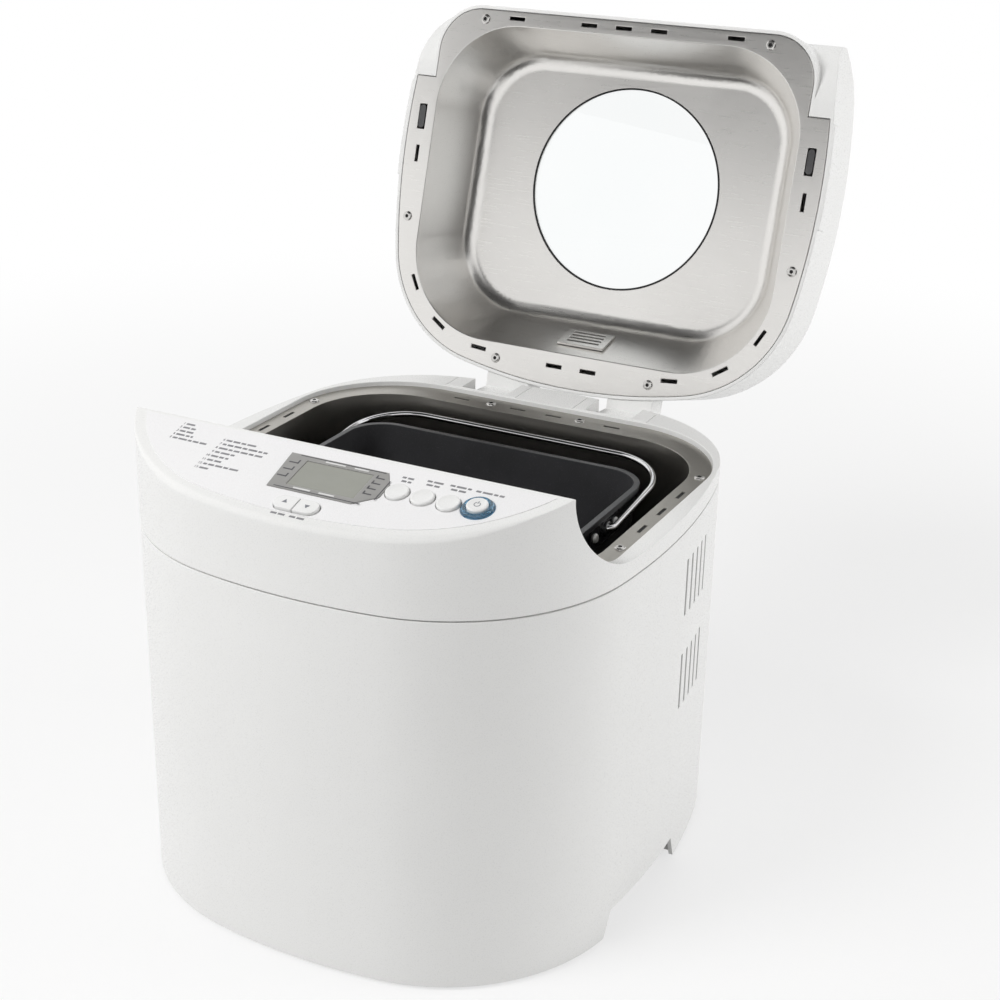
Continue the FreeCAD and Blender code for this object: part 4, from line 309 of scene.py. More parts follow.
dressKey = {"weld": 0.002 * mm, "flat": 0.4, "fill": 1e-4, "sharp": 35, "segments": 3, "softSegments": 4,
            "manySided": 5}


def manySided(work):
    return [face for face in work.faces if len(face.verts) >= dressKey["manySided"]]


def skinArea(work):
    spare = work.copy()
    bmesh.ops.triangulate(spare, faces=spare.faces)
    area = sum(face.calc_area() for face in spare.faces)
    spare.free()
    return area


def joinFlats(work):  # joins flat triangles, and keeps them where a joined face would fill a hole
    joined = work.copy()
    flat = math.radians(dressKey["flat"])
    bmesh.ops.dissolve_limit(joined, angle_limit=flat, verts=joined.verts, edges=joined.edges)
    before = skinArea(work)
    same = abs(skinArea(joined) - before) < before * dressKey["fill"]
    kept, spare = (joined, work) if same else (work, joined)
    spare.free()
    return kept


def dress(node, look, width=0.0, soft=None, second=None):  # soft: wider edges; second: other faces
    mesh = frame["nodes"][node].data.copy()
    work = bmesh.new()
    work.from_mesh(mesh)
    bmesh.ops.remove_doubles(work, verts=work.verts, dist=dressKey["weld"])
    work = joinFlats(work)
    wide = soft["width"] if soft else width
    weights = work.edges.layers.float.new("bevel_weight_edge")
    sharp = math.radians(dressKey["sharp"])
    for edge in work.edges:
        turn = edge.calc_face_angle(0.0)
        if not width:
            edge.smooth = turn < sharp
        elif turn > sharp:
            edge[weights] = width / wide
            if soft:
                edge[weights] = max(width / wide, soft["share"](edge))
    if not width:
        bmesh.ops.triangulate(work, faces=manySided(work))
    for face in work.faces:
        face.smooth = True
        face.material_index = int(bool(second and second["picks"](face)))
    work.to_mesh(mesh)
    work.free()
    words = node.split("_")
    piece = addObject(words[0] + "".join(word.capitalize() for word in words[1:]), mesh)
    mesh.materials.clear()
    mesh.materials.append(looks[look])
    if second:
        mesh.materials.append(looks[second["look"]])
    if width:
        edge = piece.modifiers.new("edge", "BEVEL")
        edge.width = wide * mm
        edge.segments = dressKey["softSegments"] if soft else dressKey["segments"]
        edge.limit_method = "WEIGHT"
        edge.use_clamp_overlap = False
        edge.loop_slide = False
        split = piece.modifiers.new("split", "TRIANGULATE")
        split.min_vertices = dressKey["manySided"]
        even = piece.modifiers.new("even", "WEIGHTED_NORMAL")
        even.keep_sharp = True
    standIn(piece, node)


def panelLip(edge):  # the rounded lip where the panel turns down into the front
    spots = [fromPanel @ vert.co for vert in edge.verts]
    onFace = all(abs(spot.z) < lipKey["flat"] * mm for spot in spots)
    low = topLow.z + lipKey["wall"] * mm
    tall = any(min(vert.co.z for vert in face.verts) < low for face in edge.link_faces)
    if not (onFace and tall):
        return 0.0
    near = -max(spot.y for spot in spots) / mm - lipKey["start"]
    return max(0.0, min(1.0, near / lipKey["fade"]))


def onLinerFlange(face):
    spots = [fromLid @ vert.co for vert in face.verts]
    return all(abs(spot.z / mm - linerKey["flange"]) < linerKey["near"] for spot in spots)


def inOven(face):  # the chamber's walls, under its flange, which take the painted shade
    return face.calc_center_median().z < ovenHigh.z - ovenKey["flange"] * mm


lipKey = {"width": 3.8, "share": panelLip, "wall": 20, "start": 12, "fade": 40, "flat": 0.05}
linerKey = {"flange": 253.4, "near": 1.0}
ovenKey = {"flange": 2.0}
softened = {"top_housing": lipKey}
secondLooks = {"lid_liner": {"look": "flangeSteel", "picks": onLinerFlange},
               "oven_chamber": {"look": "ovenDark", "picks": inOven}}
eased = {  # node: finish and edge width in mm
    "lower_housing": ("shellWhite", 0.5), "top_housing": ("shellWhite", 0.6),
    "lid_shell": ("shellWhite", 0.6), "hinge_arms": ("shellWhite", 0.6), "hinge_mounts": ("shellWhite", 0.5),
    "base_plate": ("baseGrey", 0.4),
    "cord_inlet": ("baseGrey", 0.5), "display_bezel": ("bezelGrey", 0.3),
    "display_screen": ("screenGrey", 0.1), "up_button": ("keyWhite", 0.5), "down_button": ("keyWhite", 0.5),
    "oven_chamber": ("ovenSteel", 0.3), "lid_liner": ("linerSteel", 0.5), "lid_vent": ("linerSteel", 0.4),
    "bread_pan": ("panCoat", 0.4), "kneading_paddle": ("panCoat", 0.6), "pan_foot": ("castAlloy", 0.5),
    "pan_seat": ("castAlloy", 0.5), "bail_brackets": ("bracketBlack", 0.3),
    "drive_coupling": ("castAlloy", 0.5), "pan_coupling": ("castAlloy", 0.5),
    "rubber_feet": ("rubberDark", 0.6),
}
smoothed = {  # node: finish, round pieces that need no eased edge
    "bail_handle": "wireChrome", "heating_element": "elementSteel", "element_seals": "ceramic",
    "element_rests": "ceramic", "temperature_sensor": "groundSteel", "pan_shaft": "groundSteel",
    "pan_bush": "bronze", "pan_seal": "rubberDark", "window_gasket": "rubberDark",
    "lid_window": "windowGlass", "hinge_pins": "groundSteel",
}
kept = {  # node: finish on the CAD shape as it is
    "control_overlay": "filmWhite", "control_board": "circuitGreen", "power_board": "circuitGreen",
    "key_switches": "blackPlastic", "board_screws": "screwSteel", "chassis_screws": "screwSteel",
    "drive_chassis": "zincSheet", "shaft_bearing": "bronze", "drive_shaft": "groundSteel",
    "large_pulley": "blackPlastic", "drive_belt": "rubberDark", "motor": "motorPaint",
    "motor_shaft": "groundSteel", "small_pulley": "castAlloy", "motor_fan": "blackPlastic",
    "transformer": "coreSteel", "motor_capacitor": "canGrey",
}
for node, (look, width) in eased.items():
    dress(node, look, width, soft=softened.get(node), second=secondLooks.get(node))
for node, look in smoothed.items():
    dress(node, look)
for node, look in kept.items():
    slots = frame["nodes"][node].data.materials
    slots.clear()
    slots.append(looks[look])
print("CAD pieces dressed:", len(eased) + len(smoothed) + len(kept))


# turned pieces: round keys and the ring of the start key

turnedKey = {"steps": 64, "sharp": 40}


def turned(name, profile, look, place, steps=turnedKey["steps"]):  # profile: (radius, height) in mm
    verts = []
    faces = []
    rings = []
    for radius, height in profile:
        if radius == 0:
            rings.append([len(verts)])
            verts.append(place @ Vector((0, 0, height * mm)))
            continue
        ring = []
        for step in range(steps):
            angle = 2 * math.pi * step / steps
            ring.append(len(verts))
            spot = Vector((math.cos(angle) * radius * mm, math.sin(angle) * radius * mm, height * mm))
            verts.append(place @ spot)
        rings.append(ring)
    for inner, outer in zip(rings, rings[1:]):
        for step in range(steps):
            after = (step + 1) % steps
            if len(inner) == 1:
                faces.append((inner[0], outer[step], outer[after]))
            elif len(outer) == 1:
                faces.append((inner[step], outer[0], inner[after]))
            else:
                faces.append((inner[step], outer[step], outer[after], inner[after]))
    mesh = bpy.data.meshes.new(name)
    mesh.from_pydata([tuple(vert) for vert in verts], [], faces)
    work = bmesh.new()
    work.from_mesh(mesh)
    bmesh.ops.recalc_face_normals(work, faces=work.faces)
    for face in work.faces:
        face.smooth = True
    for edge in work.edges:
        edge.smooth = edge.calc_face_angle(0.0) < math.radians(turnedKey["sharp"])
    work.to_mesh(mesh)
    work.free()
    mesh.materials.append(looks[look])
    return addObject(name, mesh)


def eye(centre, radius, start, end, count):  # points on a round edge, degrees from the outward direction
    spots = []
    for step in range(count + 1):
        angle = math.radians(start + (end - start) * step / count)
        spots.append((centre[0] + radius * math.cos(angle), centre[1] + radius * math.sin(angle)))
    return spots


roundKey = {"radius": 6.8, "rise": 2.2, "edge": 1.1, "dish": 0.35, "stem": 8, "skirt": 0.9, "skirtTop": -3.3,
            "s": 27, "places": {"menu_button": 50.3, "size_button": 66.2, "crust_button": 82.1}}
startKey = {"radius": 6.2, "rise": 3.8, "edge": 1.2, "dish": 0.45, "stem": 8, "skirt": 0.9, "skirtTop": -3.3,
            "s": 25.5, "x": 99.1}
startRing = {"gap": 0.3, "wall": 2.4, "rise": 2.6, "flange": 0.7, "slope": 0.7, "deep": 3, "steps": 12}
capKey = {"shares": (0.25, 0.5, 0.7, 0.85, 0.95), "bend": 4, "steps": 8}


def keyProfile(key):
    flat = key["radius"] - key["edge"]
    profile = [(0, key["rise"] - key["dish"])]
    for share in capKey["shares"]:
        profile.append((flat * share, key["rise"] - key["dish"] * (1 - share ** capKey["bend"])))
    profile += eye((flat, key["rise"] - key["edge"]), key["edge"], 90, 0, capKey["steps"])
    below = key["skirtTop"] - key["skirt"]
    profile += [(key["radius"], key["skirtTop"]), (key["radius"] + key["skirt"], key["skirtTop"]),
                (key["radius"] + key["skirt"], below), (key["radius"], below), (key["radius"], -key["stem"]),
                (0, -key["stem"])]
    return profile


for node, x in roundKey["places"].items():
    cap = turned(node.split("_")[0] + "Key", keyProfile(roundKey), "keyWhite", panelSpot(x, roundKey["s"]))
    standIn(cap, node)
startSpot = panelSpot(startKey["x"], startKey["s"])
standIn(turned("startKey", keyProfile(startKey), "keyWhite", startSpot), "start_button")
bore = startKey["radius"] + startRing["gap"]
outside = bore + startRing["wall"]
ringRound = startRing["wall"] / 2
ringProfile = [(bore, -startRing["deep"])]
ringProfile += eye((bore + ringRound, startRing["rise"] - ringRound), ringRound, 180, 0, startRing["steps"])
ringProfile += [(outside, startRing["flange"]),
                (outside + startRing["flange"], startRing["flange"] * startRing["slope"]),
                (outside + startRing["flange"], 0), (outside, 0), (outside, -startRing["deep"]),
                (bore, -startRing["deep"])]
standIn(turned("startRing", ringProfile, "ringBlue", startSpot), "start_ring")
print("keys turned")

# the lip of the window's gasket, seen round the glass from inside the lid
gasketKey = {"radius": 72.55, "wide": 1.0, "proud": 0.3, "sheet": 1.0, "steps": 128}
glassSpots = [fromLid @ vert.co for vert in frame["nodes"]["lid_window"].data.vertices]
glassMiddle = (min(spot.y for spot in glassSpots) + max(spot.y for spot in glassSpots)) / 2
glassLow = min(spot.z for spot in glassSpots) / mm
gasketIn = gasketKey["radius"] - gasketKey["wide"]
gasketLow = glassLow - gasketKey["sheet"] - gasketKey["proud"]
gasketProfile = [(gasketIn, glassLow), (gasketIn, gasketLow), (gasketKey["radius"], gasketLow),
                 (gasketKey["radius"], glassLow), (gasketIn, glassLow)]
gasketSpot = lidPlace @ Matrix.Translation((0, glassMiddle, 0))
gasketLip = turned("gasketLip", gasketProfile, "rubberDark", gasketSpot, gasketKey["steps"])
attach(gasketLip, bodyOf["window_gasket"])
print("gasket lip turned")

# shape trees: small repeated things grown on points by geometry nodes

padKey = {"cornerSteps": 8}
headKey = {"steps": ((0.45, 0.95), (0.3, 0.87), (0.25, 0.72)), "sides": 28, "shankSides": 14}


def newShapeTree(name, inputs):
    shape = {"Geometry": shapeSocket}
    return newTree(name, "GeometryNodeTree", {**shape, **inputs}, shape)


def plantOnPoints(tree, into, shape):  # one copy of a shape on each point, then plain mesh
    plant = addNode(tree, "GeometryNodeInstanceOnPoints")
    turn = addNode(tree, "GeometryNodeInputNamedAttribute", data_type="FLOAT_VECTOR")
    turn.inputs["Name"].default_value = "turn"
    stretch = addNode(tree, "GeometryNodeInputNamedAttribute", data_type="FLOAT_VECTOR")
    stretch.inputs["Name"].default_value = "stretch"
    solid = addNode(tree, "GeometryNodeRealizeInstances")
    tree.links.new(into.outputs["Geometry"], plant.inputs["Points"])
    tree.links.new(shape, plant.inputs["Instance"])
    tree.links.new(turn.outputs["Attribute"], plant.inputs["Rotation"])
    tree.links.new(stretch.outputs["Attribute"], plant.inputs["Scale"])
    tree.links.new(plant.outputs["Instances"], solid.inputs["Geometry"])
    return solid.outputs["Geometry"]


def paint(tree, into, shape, label, only=None):
    coat = addNode(tree, "GeometryNodeSetMaterial")
    tree.links.new(shape, coat.inputs["Geometry"])
    tree.links.new(into.outputs[label], coat.inputs["Material"])
    if only:
        tree.links.new(only, coat.inputs["Selection"])
    return coat.outputs["Geometry"]


def makeStrokeTree():  # flat printed strokes, one unit square each before the stretch
    tree, into, out = newShapeTree("printStroke", {"Thickness": valueSocket, "Ink": finishSocket})
    size = addNode(tree, "ShaderNodeCombineXYZ")
    size.inputs["X"].default_value = 1.0
    size.inputs["Y"].default_value = 1.0
    stroke = addNode(tree, "GeometryNodeMeshCube")
    tree.links.new(into.outputs["Thickness"], size.inputs["Z"])
    tree.links.new(size.outputs["Vector"], stroke.inputs["Size"])
    solid = plantOnPoints(tree, into, stroke.outputs["Mesh"])
    tree.links.new(paint(tree, into, solid, "Ink"), out.inputs["Geometry"])
    return tree


def makeArrowTree():  # three-sided marks
    tree, into, out = newShapeTree("printArrow", {
        "Reach": valueSocket, "Thickness": valueSocket, "Ink": finishSocket})
    wedge = addNode(tree, "GeometryNodeMeshCylinder")
    wedge.inputs["Vertices"].default_value = 3
    tree.links.new(into.outputs["Reach"], wedge.inputs["Radius"])
    tree.links.new(into.outputs["Thickness"], wedge.inputs["Depth"])
    solid = plantOnPoints(tree, into, wedge.outputs["Mesh"])
    tree.links.new(paint(tree, into, solid, "Ink"), out.inputs["Geometry"])
    return tree


def makePadTree():  # rounded flat pads
    tree, into, out = newShapeTree("roundPad", {
        "Length": valueSocket, "Width": valueSocket, "Corner": valueSocket, "Thickness": valueSocket,
        "Finish": finishSocket})
    link = tree.links.new
    outline = addNode(tree, "GeometryNodeCurvePrimitiveQuadrilateral")
    rounded = addNode(tree, "GeometryNodeFilletCurve")
    rounded.mode = "POLY"
    rounded.inputs["Count"].default_value = padKey["cornerSteps"]
    face = addNode(tree, "GeometryNodeFillCurve")
    face.mode = "NGONS"
    top = addNode(tree, "GeometryNodeExtrudeMesh")
    flat = addNode(tree, "GeometryNodeFlipFaces")
    both = addNode(tree, "GeometryNodeJoinGeometry")
    link(into.outputs["Length"], outline.inputs["Width"])
    link(into.outputs["Width"], outline.inputs["Height"])
    link(outline.outputs["Curve"], rounded.inputs["Curve"])
    link(into.outputs["Corner"], rounded.inputs["Radius"])
    link(rounded.outputs["Curve"], face.inputs["Curve"])
    link(face.outputs["Mesh"], top.inputs["Mesh"])
    link(into.outputs["Thickness"], top.inputs["Offset Scale"])
    link(face.outputs["Mesh"], flat.inputs["Mesh"])
    link(top.outputs["Mesh"], both.inputs["Geometry"])
    link(flat.outputs["Mesh"], both.inputs["Geometry"])
    solid = plantOnPoints(tree, into, both.outputs["Geometry"])
    link(paint(tree, into, solid, "Finish"), out.inputs["Geometry"])
    return tree


def makeHeadTree():  # a domed head with a shank under it and a socket in its top, the socket's inside painted dark as shade
    tree, into, out = newShapeTree("domedHead", {
        "Radius": valueSocket, "Height": valueSocket, "Socket": valueSocket, "Socket Depth": valueSocket,
        "Shank": valueSocket, "Shank Length": valueSocket, "Finish": finishSocket,
        "Socket Shade Finish": finishSocket})
    link = tree.links.new
    disc = addNode(tree, "GeometryNodeMeshCircle", fill_type="NGON")
    disc.inputs["Vertices"].default_value = headKey["sides"]
    link(into.outputs["Radius"], disc.inputs["Radius"])
    shape = disc.outputs["Mesh"]
    top = None
    for rise, taper in headKey["steps"]:
        lift = addNode(tree, "ShaderNodeMath", operation="MULTIPLY")
        lift.inputs[1].default_value = rise
        link(into.outputs["Height"], lift.inputs[0])
        step = addNode(tree, "GeometryNodeExtrudeMesh")
        link(shape, step.inputs["Mesh"])
        if top:
            link(top, step.inputs["Selection"])
        link(lift.outputs[0], step.inputs["Offset Scale"])
        narrow = addNode(tree, "GeometryNodeScaleElements")
        narrow.inputs["Scale"].default_value = taper
        link(step.outputs["Mesh"], narrow.inputs["Geometry"])
        link(step.outputs["Top"], narrow.inputs["Selection"])
        shape = narrow.outputs["Geometry"]
        top = step.outputs["Top"]
    rim = addNode(tree, "GeometryNodeExtrudeMesh")
    rim.inputs["Offset Scale"].default_value = 0.0
    link(shape, rim.inputs["Mesh"])
    link(top, rim.inputs["Selection"])
    inset = addNode(tree, "GeometryNodeScaleElements")
    link(rim.outputs["Mesh"], inset.inputs["Geometry"])
    link(rim.outputs["Top"], inset.inputs["Selection"])
    link(into.outputs["Socket"], inset.inputs["Scale"])
    down = addNode(tree, "ShaderNodeMath", operation="MULTIPLY")
    down.inputs[1].default_value = -1.0
    link(into.outputs["Socket Depth"], down.inputs[0])
    well = addNode(tree, "GeometryNodeExtrudeMesh")
    link(inset.outputs["Geometry"], well.inputs["Mesh"])
    link(rim.outputs["Top"], well.inputs["Selection"])
    link(down.outputs[0], well.inputs["Offset Scale"])
    # the socket's walls and floor take the painted shade finish
    inside = addNode(tree, "FunctionNodeBooleanMath", operation="OR")
    link(well.outputs["Top"], inside.inputs[0])
    link(well.outputs["Side"], inside.inputs[1])
    bright = paint(tree, into, well.outputs["Mesh"], "Finish")
    dark = paint(tree, into, bright, "Socket Shade Finish", inside.outputs[0])
    shank = addNode(tree, "GeometryNodeMeshCylinder")
    shank.inputs["Vertices"].default_value = headKey["shankSides"]
    link(into.outputs["Shank"], shank.inputs["Radius"])
    link(into.outputs["Shank Length"], shank.inputs["Depth"])
    drop = addNode(tree, "ShaderNodeMath", operation="MULTIPLY")
    drop.inputs[1].default_value = -0.5
    link(into.outputs["Shank Length"], drop.inputs[0])
    low = addNode(tree, "ShaderNodeCombineXYZ")
    link(drop.outputs[0], low.inputs["Z"])
    under = addNode(tree, "GeometryNodeTransform")
    link(shank.outputs["Mesh"], under.inputs["Geometry"])
    link(low.outputs["Vector"], under.inputs["Translation"])
    both = addNode(tree, "GeometryNodeJoinGeometry")
    link(dark, both.inputs["Geometry"])
    link(paint(tree, into, under.outputs["Geometry"], "Finish"), both.inputs["Geometry"])
    link(plantOnPoints(tree, into, both.outputs["Geometry"]), out.inputs["Geometry"])
    return tree


strokeTree = makeStrokeTree()
arrowTree = makeArrowTree()
padTree = makePadTree()
headTree = makeHeadTree()
asMade = Vector((1, 1, 1))  # no stretch


def grow(name, tree, spots, values, body):  # spots are pairs of a placing matrix and a stretch
    points = bpy.data.meshes.new(name + "Points")
    points.from_pydata([tuple(spot.translation) for spot, stretch in spots], [], [])
    turns = points.attributes.new("turn", "FLOAT_VECTOR", "POINT")
    stretches = points.attributes.new("stretch", "FLOAT_VECTOR", "POINT")
    for index, (spot, stretch) in enumerate(spots):
        turns.data[index].vector = spot.to_euler()
        stretches.data[index].vector = stretch
    holder = addObject(name + "Points", points)
    shape = holder.modifiers.new("shape", "NODES")
    shape.node_group = tree
    for item in tree.interface.items_tree:
        if item.in_out == "INPUT" and item.name in values:
            shape[item.identifier] = values[item.name]
    mesh = bpy.data.meshes.new_from_object(holder.evaluated_get(bpy.context.evaluated_depsgraph_get()))
    bpy.data.objects.remove(holder)
    mesh.name = name
    piece = addObject(name, mesh)
    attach(piece, body)
    return piece


# printed strokes on the panel

def stroke(x, s, length, width, lift, degrees=0.0):
    spot = panelSpot(x, s, lift) @ Matrix.Rotation(math.radians(degrees), 4, "Z")
    return spot, Vector((length * mm, width * mm, 1))


def ink(thick, look):
    return {"Thickness": thick, "Ink": looks[look]}


def wordRow(left, s, length, lift):  # a row of short strokes as long as a line of small print
    row = []
    x = left
    index = 0
    while x < left + length - printKey["least"]:
        word = min(printKey["words"][(index + int(s)) % len(printKey["words"])], left + length - x)
        row.append(stroke(x + word / 2, s, word, printKey["tall"], lift))
        x += word + printKey["space"]
        index += 1
    return row


printKey = {"film": 0.44, "housing": 0.04, "thick": 0.1 * mm, "tall": 1.5, "space": 1.0, "least": 1.0,
            "words": (4.6, 3.0, 5.8, 2.4, 3.8), "indent": 3.4, "numberEnd": 2.4, "numberSize": 2.6 * mm,
            "curveSteps": 3,
            "left": ((-107, 7, 10), (-107, 10.6, 14), (-107, 14.2, 13), (-107, 17.8, 15), (-107, 21.4, 28)),
            "right": ((-74, 14, 24), (-74, 18, 34), (-74, 22, 33), (-74, 26, 17), (-74, 30, 15),
                      (-74, 34, 13), (-74, 38, 29), (-74, 42, 11)),
            "labels": ((46, 13, 7), (47, 16.2, 6), (61, 11.6, 10.5), (62, 14.8, 8), (75, 11.2, 13),
                       (77, 14.4, 9), (91, 11.4, 17)),
            "under": ((-8, 64.6, 9), (4, 64.6, 10))}
rows = []
for left, s, length in printKey["left"] + printKey["right"]:
    rows += wordRow(left + printKey["indent"], s, length - printKey["indent"], printKey["film"])
for left, s, length in printKey["labels"]:
    rows += wordRow(left, s, length, printKey["film"])
for left, s, length in printKey["under"]:
    rows += wordRow(left, s, length, printKey["housing"])
grow("panelPrint", strokeTree, rows, ink(printKey["thick"], "textGrey"), "housing")


def numeral(text, place):  # a plain number as a thin mesh
    curve = bpy.data.curves.new("numeral", "FONT")
    curve.body = text
    curve.size = printKey["numberSize"]
    curve.extrude = printKey["thick"] / 2
    curve.align_x = "RIGHT"
    curve.align_y = "CENTER"
    curve.resolution_u = printKey["curveSteps"]
    holder = addObject("numeral", curve)
    mesh = bpy.data.meshes.new_from_object(holder.evaluated_get(bpy.context.evaluated_depsgraph_get()))
    bpy.data.objects.remove(holder)
    mesh.transform(place)
    return mesh


def joinMeshes(name, meshes, look):
    work = bmesh.new()
    for mesh in meshes:
        work.from_mesh(mesh)
    bmesh.ops.triangulate(work, faces=manySided(work))
    whole = bpy.data.meshes.new(name)
    work.to_mesh(whole)
    work.free()
    whole.materials.append(looks[look])
    return addObject(name, whole)


numerals = []
for index, (left, s, length) in enumerate(printKey["left"] + printKey["right"]):
    spot = panelSpot(left + printKey["numberEnd"], s, printKey["film"])
    numerals.append(numeral(str(index + 1), spot))
numbers = joinMeshes("panelNumbers", numerals, "printGrey")
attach(numbers, "housing")
print("panel printed:", len(rows), "strokes,", len(numerals), "numbers")

# marks on the display's frame and on the keys

bezelKey = {"lift": 1.04, "thick": 0.1 * mm, "line": 0.6, "left": -26.5, "right": 43.0, "back": 12.5,
            "front": 44.5, "inset": 1.1, "corner": 7}
leftTicks = {"places": (21, 27.5, 34), "x": -20.5, "length": 5.2, "line": 0.9, "stemX": -17.4, "stem": 3.4,
             "stemUp": 1.2}
rightTicks = {"places": (19, 24, 29, 34), "x": 35.6, "length": 4.6, "line": 0.9, "stemX": 32.8, "stem": 2.8,
              "stemUp": 0.9}
noteKey = {"line": 1.2, "rows": ((4, 15, 13), (21, 15, 9), (-2, 42, 11), (14, 42, 10))}
lift = bezelKey["lift"]
middle = (bezelKey["left"] + bezelKey["right"]) / 2
wide = bezelKey["right"] - bezelKey["left"] - 2 * bezelKey["corner"]
deep = bezelKey["front"] - bezelKey["back"] - 2 * bezelKey["corner"]
halfway = (bezelKey["back"] + bezelKey["front"]) / 2
dark = [stroke(middle, bezelKey["back"] + bezelKey["inset"], wide, bezelKey["line"], lift),
        stroke(middle, bezelKey["front"] - bezelKey["inset"], wide, bezelKey["line"], lift),
        stroke(bezelKey["right"] - bezelKey["inset"], halfway, bezelKey["line"], deep, lift)]
for ticks in (leftTicks, rightTicks):
    for s in ticks["places"]:
        dark.append(stroke(ticks["x"], s, ticks["length"], ticks["line"], lift))
        dark.append(stroke(ticks["stemX"], s - ticks["stemUp"], ticks["line"], ticks["stem"], lift))
pale = [stroke(x, s, length, noteKey["line"], lift) for x, s, length in noteKey["rows"]]
grow("bezelTicks", strokeTree, dark, ink(bezelKey["thick"], "printGrey"), "housing")
grow("bezelNotes", strokeTree, pale, ink(bezelKey["thick"], "paleMark"), "housing")

markKey = {"reach": 1.9 * mm, "thick": 0.12 * mm, "lift": 2.24, "s": 56,
           "arrows": {"upMark": ("up_button", -3.7, 90), "downMark": ("down_button", 10.4, -90)}}
powerKey = {"reach": 1.7, "lift": 3.42, "line": 0.45, "upright": 1.9, "dash": 0.95,
            "turns": range(130, 411, 28)}
markInk = ink(markKey["thick"], "keyMark")
for name, (body, x, degrees) in markKey["arrows"].items():
    spot = panelSpot(x, markKey["s"], markKey["lift"]) @ Matrix.Rotation(math.radians(degrees), 4, "Z")
    grow(name, arrowTree, [(spot, asMade)], {"Reach": markKey["reach"], **markInk}, body)
power = [stroke(startKey["x"], startKey["s"] - powerKey["reach"], powerKey["line"], powerKey["upright"],
                powerKey["lift"])]
for degrees in powerKey["turns"]:  # an open ring of short strokes under the upright one
    x = startKey["x"] + powerKey["reach"] * math.cos(math.radians(degrees))
    s = startKey["s"] - powerKey["reach"] * math.sin(math.radians(degrees))
    power.append(stroke(x, s, powerKey["line"], powerKey["dash"], powerKey["lift"], degrees))
grow("startMark", strokeTree, power, markInk, "start_button")
print("display and keys marked")

# screws, rivets, and dark pads of painted shade behind the slots in the lid's and the chamber's flanges

screwKey = {"Radius": 3.6 * mm, "Height": 1.2 * mm, "Socket": 0.6, "Socket Depth": 0.75 * mm,
            "Shank": 1.6 * mm}
rivetKey = {"Radius": 3.2 * mm, "Height": 1.6 * mm, "Socket": 0.6, "Socket Depth": 0.0, "Shank": 1.5 * mm}
shankKey = {"bracket_rivets": 5.6, "oven_screws": 9, "base_screws": 6, "lid_screws": 9}  # lengths in mm
upsideDown = Matrix.Rotation(math.pi, 4, "X")
quarterTurn = Matrix.Rotation(math.pi / 2, 4, "Z")


def pieceBoxes(node):  # the box of each separate solid of a CAD node, in a fixed order
    work = bmesh.new()
    work.from_mesh(frame["nodes"][node].data)
    bmesh.ops.remove_doubles(work, verts=work.verts, dist=dressKey["weld"])
    left = set(work.verts)
    boxes = []
    while left:
        group = [left.pop()]
        for vert in group:
            for edge in vert.link_edges:
                other = edge.other_vert(vert)
                if other in left:
                    left.discard(other)
                    group.append(other)
        low = Vector([min(vert.co[axis] for vert in group) for axis in range(3)])
        high = Vector([max(vert.co[axis] for vert in group) for axis in range(3)])
        boxes.append((low, high))
    work.free()
    return sorted(boxes, key=lambda box: tuple(box[0]))


# socketShadeLook is the painted shade inside each socket
def fasten(name, node, spots, sizes, look, socketShadeLook):
    values = dict(sizes)
    values["Shank Length"] = shankKey[node] * mm
    values["Finish"] = looks[look]
    values["Socket Shade Finish"] = looks[socketShadeLook]
    heads = grow(name, headTree, [(spot, asMade) for spot in spots], values, bodyOf[node])
    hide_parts(node)


def standing(node, seat):  # upright heads whose seats are at one height
    spots = []
    for low, high in pieceBoxes(node):
        spots.append(Matrix.Translation(((low.x + high.x) / 2, (low.y + high.y) / 2, seat)))
    return spots


def sideways(node, side, seat):  # heads that point out to one side
    outwards = Matrix.Rotation(side * math.pi / 2, 4, "Y")
    spots = []
    for low, high in pieceBoxes(node):
        if (low.x + high.x) * side > 0:
            spot = Matrix.Translation((side * seat, (low.y + high.y) / 2, (low.z + high.z) / 2))
            spots.append(spot @ outwards)
    return spots


def underLid(x, y, z):  # looking out of the lid's inside, mm in the closed lid
    return lidPlace @ Matrix.Translation((x * mm, y * mm + houseY, z * mm)) @ upsideDown


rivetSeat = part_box("bracket_rivets")[1].x - rivetKey["Height"]
rivetSpots = sideways("bracket_rivets", 1, rivetSeat) + sideways("bracket_rivets", -1, rivetSeat)
fasten("bracketRivets", "bracket_rivets", rivetSpots, rivetKey, "rivetBright", "rivetBright")
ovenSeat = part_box("oven_screws")[1].z - screwKey["Height"]
fasten("ovenScrews", "oven_screws", standing("oven_screws", ovenSeat), screwKey, "screwSteel", "paintedShadeDark")
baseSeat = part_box("base_screws")[0].z + screwKey["Height"]
baseSpots = [spot @ upsideDown for spot in standing("base_screws", baseSeat)]
fasten("baseScrews", "base_screws", baseSpots, screwKey, "screwSteel", "paintedShadeDark")
lidScrewPlaces = ((108, -100.4), (148.9, 46.5), (60, 138.4))
# dark pads behind the slots in the lid's flange: painted shade seen through the slots
lidShadePadKey = {"Length": 16.6 * mm, "Width": 4.6 * mm, "Corner": 2.2 * mm, "Thickness": 0.8 * mm, "x": 148.6,
            "y": -27, "sunk": 0.5}
lidSpots = []
lidShadePadSpots = []
for side in (-1, 1):
    for x, y in lidScrewPlaces:
        lidSpots.append(underLid(side * x, y, linerKey["flange"]))
    lidShadePad = underLid(side * lidShadePadKey["x"], lidShadePadKey["y"], linerKey["flange"] + lidShadePadKey["sunk"])
    lidShadePadSpots.append((lidShadePad @ quarterTurn, asMade))
fasten("lidScrews", "lid_screws", lidSpots, screwKey, "screwSteel", "paintedShadeDark")
lidShadePadValues = {**lidShadePadKey, "Finish": looks["slotShadeGrey"]}
grow("lidSlotShadePads", padTree, lidShadePadSpots, lidShadePadValues, "lid")
